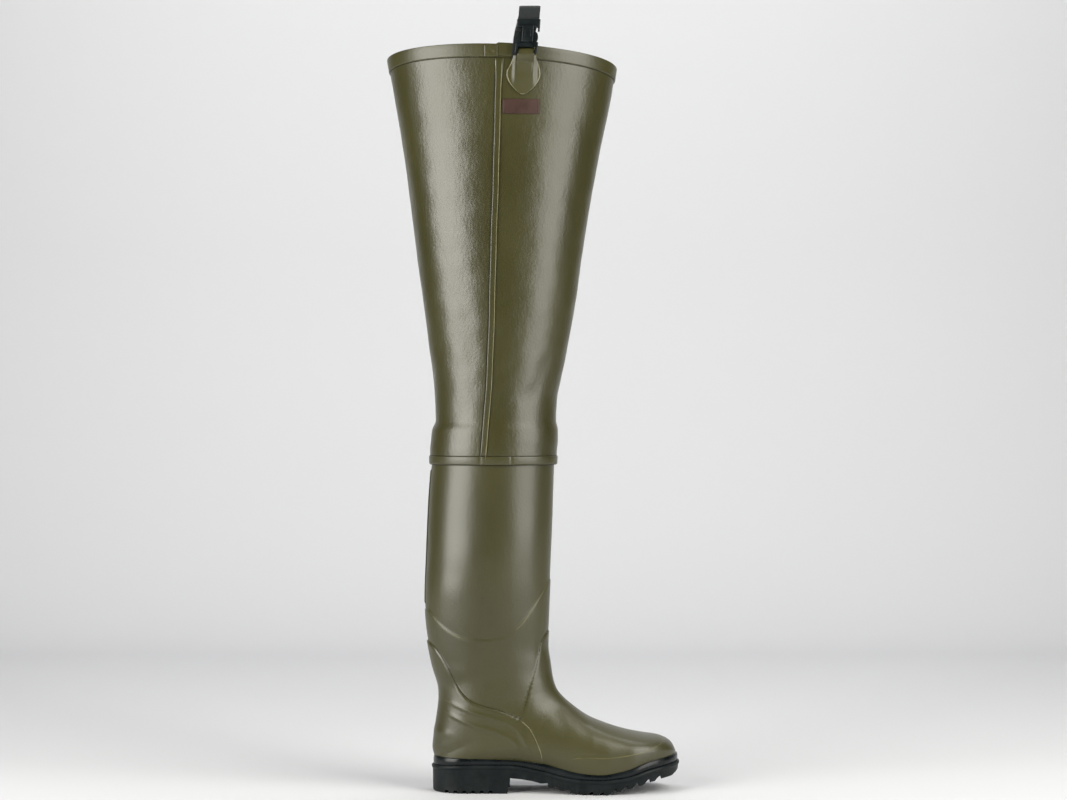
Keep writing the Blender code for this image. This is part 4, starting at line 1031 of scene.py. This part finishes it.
def makeBuckle():
    b, f, k = buckleBack, buckleFront, buckle
    half, spine = k["width"] / 2, k["spine"] / 2
    female = [block("buckleHead", half, (f, b), (k["neck"], k["top"]), bevel=1.2),
              block("buckleSpine", spine, (f - 0.6, b), (k["split"] + 0.3, k["neck"] + 2.5), bevel=0.9)]
    for side in (-1, 1):
        female.append(block("rail", 1.1, (f + 1.4, b - 1.4), (k["neck"] - 4.5, k["neck"] + 2),
                            side * (half - 1.2), bevel=0.5))
    femaleCuts = [block("neckGroove", half - 3, (f - 2, f + 0.7), (k["neck"] + 2.4, k["neck"] + 3.4),
                        bevel=0.3),
                  block("thumbHollow", 3.6, (f - 3, f + 0.1), (k["neck"] - 11, k["neck"] - 3), bevel=0.5)]
    finishPiece(joined("buckleBody", female, femaleCuts), "black_plastic", "buckle_female")
    low = k["foot"] + k["slotLift"]
    male = [block("buckleBase", half - 0.6, (f + 0.8, b), (k["foot"], k["split"]), bevel=1.1)]
    for side in (-1, 1):
        male.append(prong(side, spine + 0.5, (f + 1.8, b - 1.6), (k["split"] - 1.5, k["neck"] - 4.9)))
    maleCuts = [block("slot", k["slotWidth"] / 2, (f - 3, b + 3), (low, low + k["slotHigh"]), bevel=0.5),
                block("foot", k["slotWidth"] / 2, (f - 3, b - k["bar"]), (k["foot"] - 2, low + 0.5), bevel=0),
                block("flangeGroove", half - 3.5, (f - 1, f + 1.4), (k["split"] - 2.6, k["split"] - 1.9),
                      bevel=0)]
    finishPiece(joined("bucklePlug", male, maleCuts), "black_plastic", "buckle_male")


makeBuckle()
print("fittings made")


# Painted shade and painted highlights along panel edges, the seam and the band joints, as fine beads that lie
# on the rubber

def surfaceOf(piece):
    mesh = piece.data
    tree = BVHTree.FromPolygons([v.co for v in mesh.vertices], [p.vertices[:] for p in mesh.polygons])

    def find(x, z, side):
        hit = tree.ray_cast(Vector((x * mm, side * 0.3, z * mm)), Vector((0, -side, 0)))[0]
        return None if hit is None else hit.y / mm
    return find


def evenly(line, spacing=1.3):
    line = np.asarray(line, dtype=float)
    run = np.concatenate([[0], np.cumsum(np.linalg.norm(np.diff(line, axis=0), axis=1))])
    places = np.linspace(0, run[-1], max(3, int(run[-1] / spacing)))
    return np.stack([np.interp(places, run, line[:, 0]), np.interp(places, run, line[:, 1])], axis=1)


def beads(name, lines, width, lift, find, material, sides=(-1, 1)):
    # narrow raised strips, three points across, tapered at both ends
    points, faces = [], []
    for line in lines:
        path = evenly(line)
        ways = np.gradient(path, axis=0)
        ways /= np.linalg.norm(ways, axis=1)[:, None]
        across = np.stack([-ways[:, 1], ways[:, 0]], axis=1)
        share = np.minimum(np.arange(len(path)), np.arange(len(path))[::-1]) / 6
        for side in sides:
            last = None
            for (x, z), (ax, az), s in zip(path, across, np.clip(share, 0.15, 1)):
                row = []
                for k, proud in ((-0.5, 0.02), (0, lift), (0.5, 0.02)):
                    px, pz = x + ax * width * s * k, z + az * width * s * k
                    y = find(px, pz, side)
                    if y is not None:
                        row.append((px, y + side * proud, pz))
                if len(row) < 3 or abs(row[0][1] - row[2][1]) > 2.5 * width:
                    last = None
                    continue
                start = len(points)
                points += row
                if last is not None:
                    faces += [(last, last + 1, start + 1, start), (last + 1, last + 2, start + 2, start + 1)]
                last = start
    return addMesh(name, points, faces, material)


def shifted(line, dx, dz):
    return np.asarray(line) + np.array([dx, dz])


bootSurface = surfaceOf(bootSkinPiece)
# painted shade along the vamp and counter sheet edge
shadeLines = [shifted(sheetEdge, 0, 0.7)]
arcThird, arcRest = int(len(rise["arc"]) * 0.34), int(len(rise["arc"]) * 0.66)
# soft painted highlights along the arc panel's ends, the rand and the heel ribs
softHighlightLines = [shifted(line, 0, -0.5) for line in (
    rise["arc"][:arcThird], rise["arc"][arcRest:], rise["rand"][4:], rise["ribs"][0][:14],
    rise["ribs"][1][:12])]
# painted highlight along the counter's front edge
highlightLines = [rise["counterFront"][:-2]]
for name, lines, width, rubber in (("sheetEdgeShade", shadeLines, 0.65, edgeShade),
                                   ("softHighlightBeads", softHighlightLines, 1.3, paintedSoftHighlight),
                                   ("counterFrontHighlight", highlightLines, 0.6, paintedEdgeHighlight)):
    finishPiece(beads(name, lines, width, 0.08, bootSurface, rubber), "olive_rubber")


def thighSurface(x, z, side):
    return float(thighSide(np.float64(x), z, 0.05)[1])


seamHeights = np.linspace(400, 874, 120)
seamLine = np.stack([seamMiddle(seamHeights), seamHeights], axis=1)
# painted shade along the left edge of the seam strip
finishPiece(beads("seamShade", [shifted(seamLine, -4.4, 0)], 1.5, 0.12,
                  lambda x, z, side: thighSurface(x, z, side) - 0.15, edgeShade, (-1,)), "olive_thin_rubber")
# painted highlight along the ridge at the seam strip's right edge
finishPiece(beads("seamHighlight", [shifted(seamLine, 3, 0)], 0.6, 0.06,
                  lambda x, z, side: thighSurface(x, z, side) - 1.42, paintedEdgeHighlight, (-1,)), "olive_thin_rubber")
# painted shade lines at the knee band's edges and the binding's lower edge
for name, level, grow in (("bandShadeHigh", 405.5, 0.1), ("bandShadeLow", 394.7, 0.1),
                          ("bindingShade", 863.5, 0.15)):
    bead = ((level - 0.32, grow), (level, grow + 0.22), (level + 0.32, grow))
    finishPiece(turnedPiece(name, bead, edgeShade), "olive_thin_rubber")


def patchRim():
    # a painted highlight once round the patch, just inside its edge
    u = np.concatenate([np.full(60, 0.02), np.linspace(0.02, 0.98, 8)[1:-1], np.full(60, 0.98)])
    v = np.concatenate([np.linspace(0.84, 0.02, 60), np.full(6, 0.02), np.linspace(0.02, 0.84, 60)])
    rows = [patchPlace(u + (0.5 - u) * shift, v + shift * 0.3, h) for shift, h in
            ((0, 1), (0.02, 1.38), (0.05, 1.3))]
    points = np.stack(rows, axis=1).reshape(-1, 3)
    return addMesh("patchRim", points, gridFaces(len(u), 3), paintedEdgeHighlight)


finishPiece(patchRim(), "olive_rubber")
print("edges made")


# Floor, light and camera

# metres; the near edges of the tall side lights set where the bright bands end
warm, white = (1, 0.985, 0.93), (1, 1, 1)
studio = {
    "paper": (0.65, 0.655, 0.675), "sides": (-4.4, 4.6), "front": -2.4, "back": 1.6, "bend": 0.8, "high": 4.2,
    "camera": (0.079, -3, 0.4725), "lens": 83.3, "worldLight": 0.03,
    # name, place, aim, size, watts, colour
    "lights": (("leftBox", (-1.55, -1.22, 0.72), (0.04, 0, 0.45), (1.45, 1.9), 72, warm),
               ("rightBox", (1.62, -1.18, 0.72), (0.04, 0, 0.45), (1.35, 1.9), 43, warm),
               ("topBox", (0.1, 0.3, 2.6), (0.06, 0.2, 0), (2, 1.4), 3, white),
               ("vampBox", (1.42, -0.85, 1.92), (0.13, 0, 0.08), (1.3, 1.15), 24, warm),
               ("backLight", (0.1, 0.9, 2.9), (0.1, 2.2, 0.6), (3, 0.8), 41, white)),
}


def makeStage():
    # floor that sweeps up well behind the boot
    back, bend = studio["back"], studio["bend"]
    profile = [(studio["front"], 0), (back, 0)]
    turns = np.linspace(0.05, math.pi / 2, 24)
    profile += [(back + bend * math.sin(t), bend - bend * math.cos(t)) for t in turns]
    profile.append((back + bend, studio["high"]))
    points = [(x * 1000, y * 1000, z * 1000 - 0.2) for y, z in profile for x in studio["sides"]]
    sweep = addMesh("studioSweep", points, gridFaces(len(profile), 2), stageFinish())


def stageFinish():
    paper = studio["paper"]
    made, tree, shader, place = newMaterial("studioPaper", paper, 0.9, 0.2)
    pale, dark = (tuple(c + shade for c in paper) for shade in (0.005, -0.005))
    cloud = noise(tree, place, 0.8, 2)
    tree.links.new(ramp(tree, cloud, 0.3, 0.7, dark, pale), shader.inputs["Base Color"])
    return made


def softbox(name, place, aim, size, power, colour):
    light = bpy.data.lights.new(name, "AREA")
    light.shape, light.size, light.size_y = "RECTANGLE", *size
    light.energy, light.color = power, colour
    lamp = bpy.data.objects.new(name, light)
    bpy.context.scene.collection.objects.link(lamp)
    lamp.location = place
    way = np.array(aim) - np.array(place)
    tilt, turn = math.atan2(way[2], math.hypot(way[0], way[1])), math.atan2(way[1], way[0])
    lamp.rotation_euler = (math.pi / 2 + tilt, 0, turn - math.pi / 2)


makeStage()
for lightRow in studio["lights"]:
    softbox(*lightRow)
world = bpy.data.worlds.new("studio")
world.use_nodes = True
background = world.node_tree.nodes["Background"]
background.inputs["Color"].default_value = (1, 1, 1, 1)
background.inputs["Strength"].default_value = studio["worldLight"]
bpy.context.scene.world = world
cameraData = bpy.data.cameras.new("camera")
cameraData.lens, cameraData.sensor_width = studio["lens"], 36.0
camera = bpy.data.objects.new("camera", cameraData)
bpy.context.scene.collection.objects.link(camera)
camera.location, camera.rotation_euler = studio["camera"], (math.pi / 2, 0, 0)
bpy.context.scene.camera = camera
bpy.context.scene.view_settings.view_transform = "Standard"
print("light and camera set")
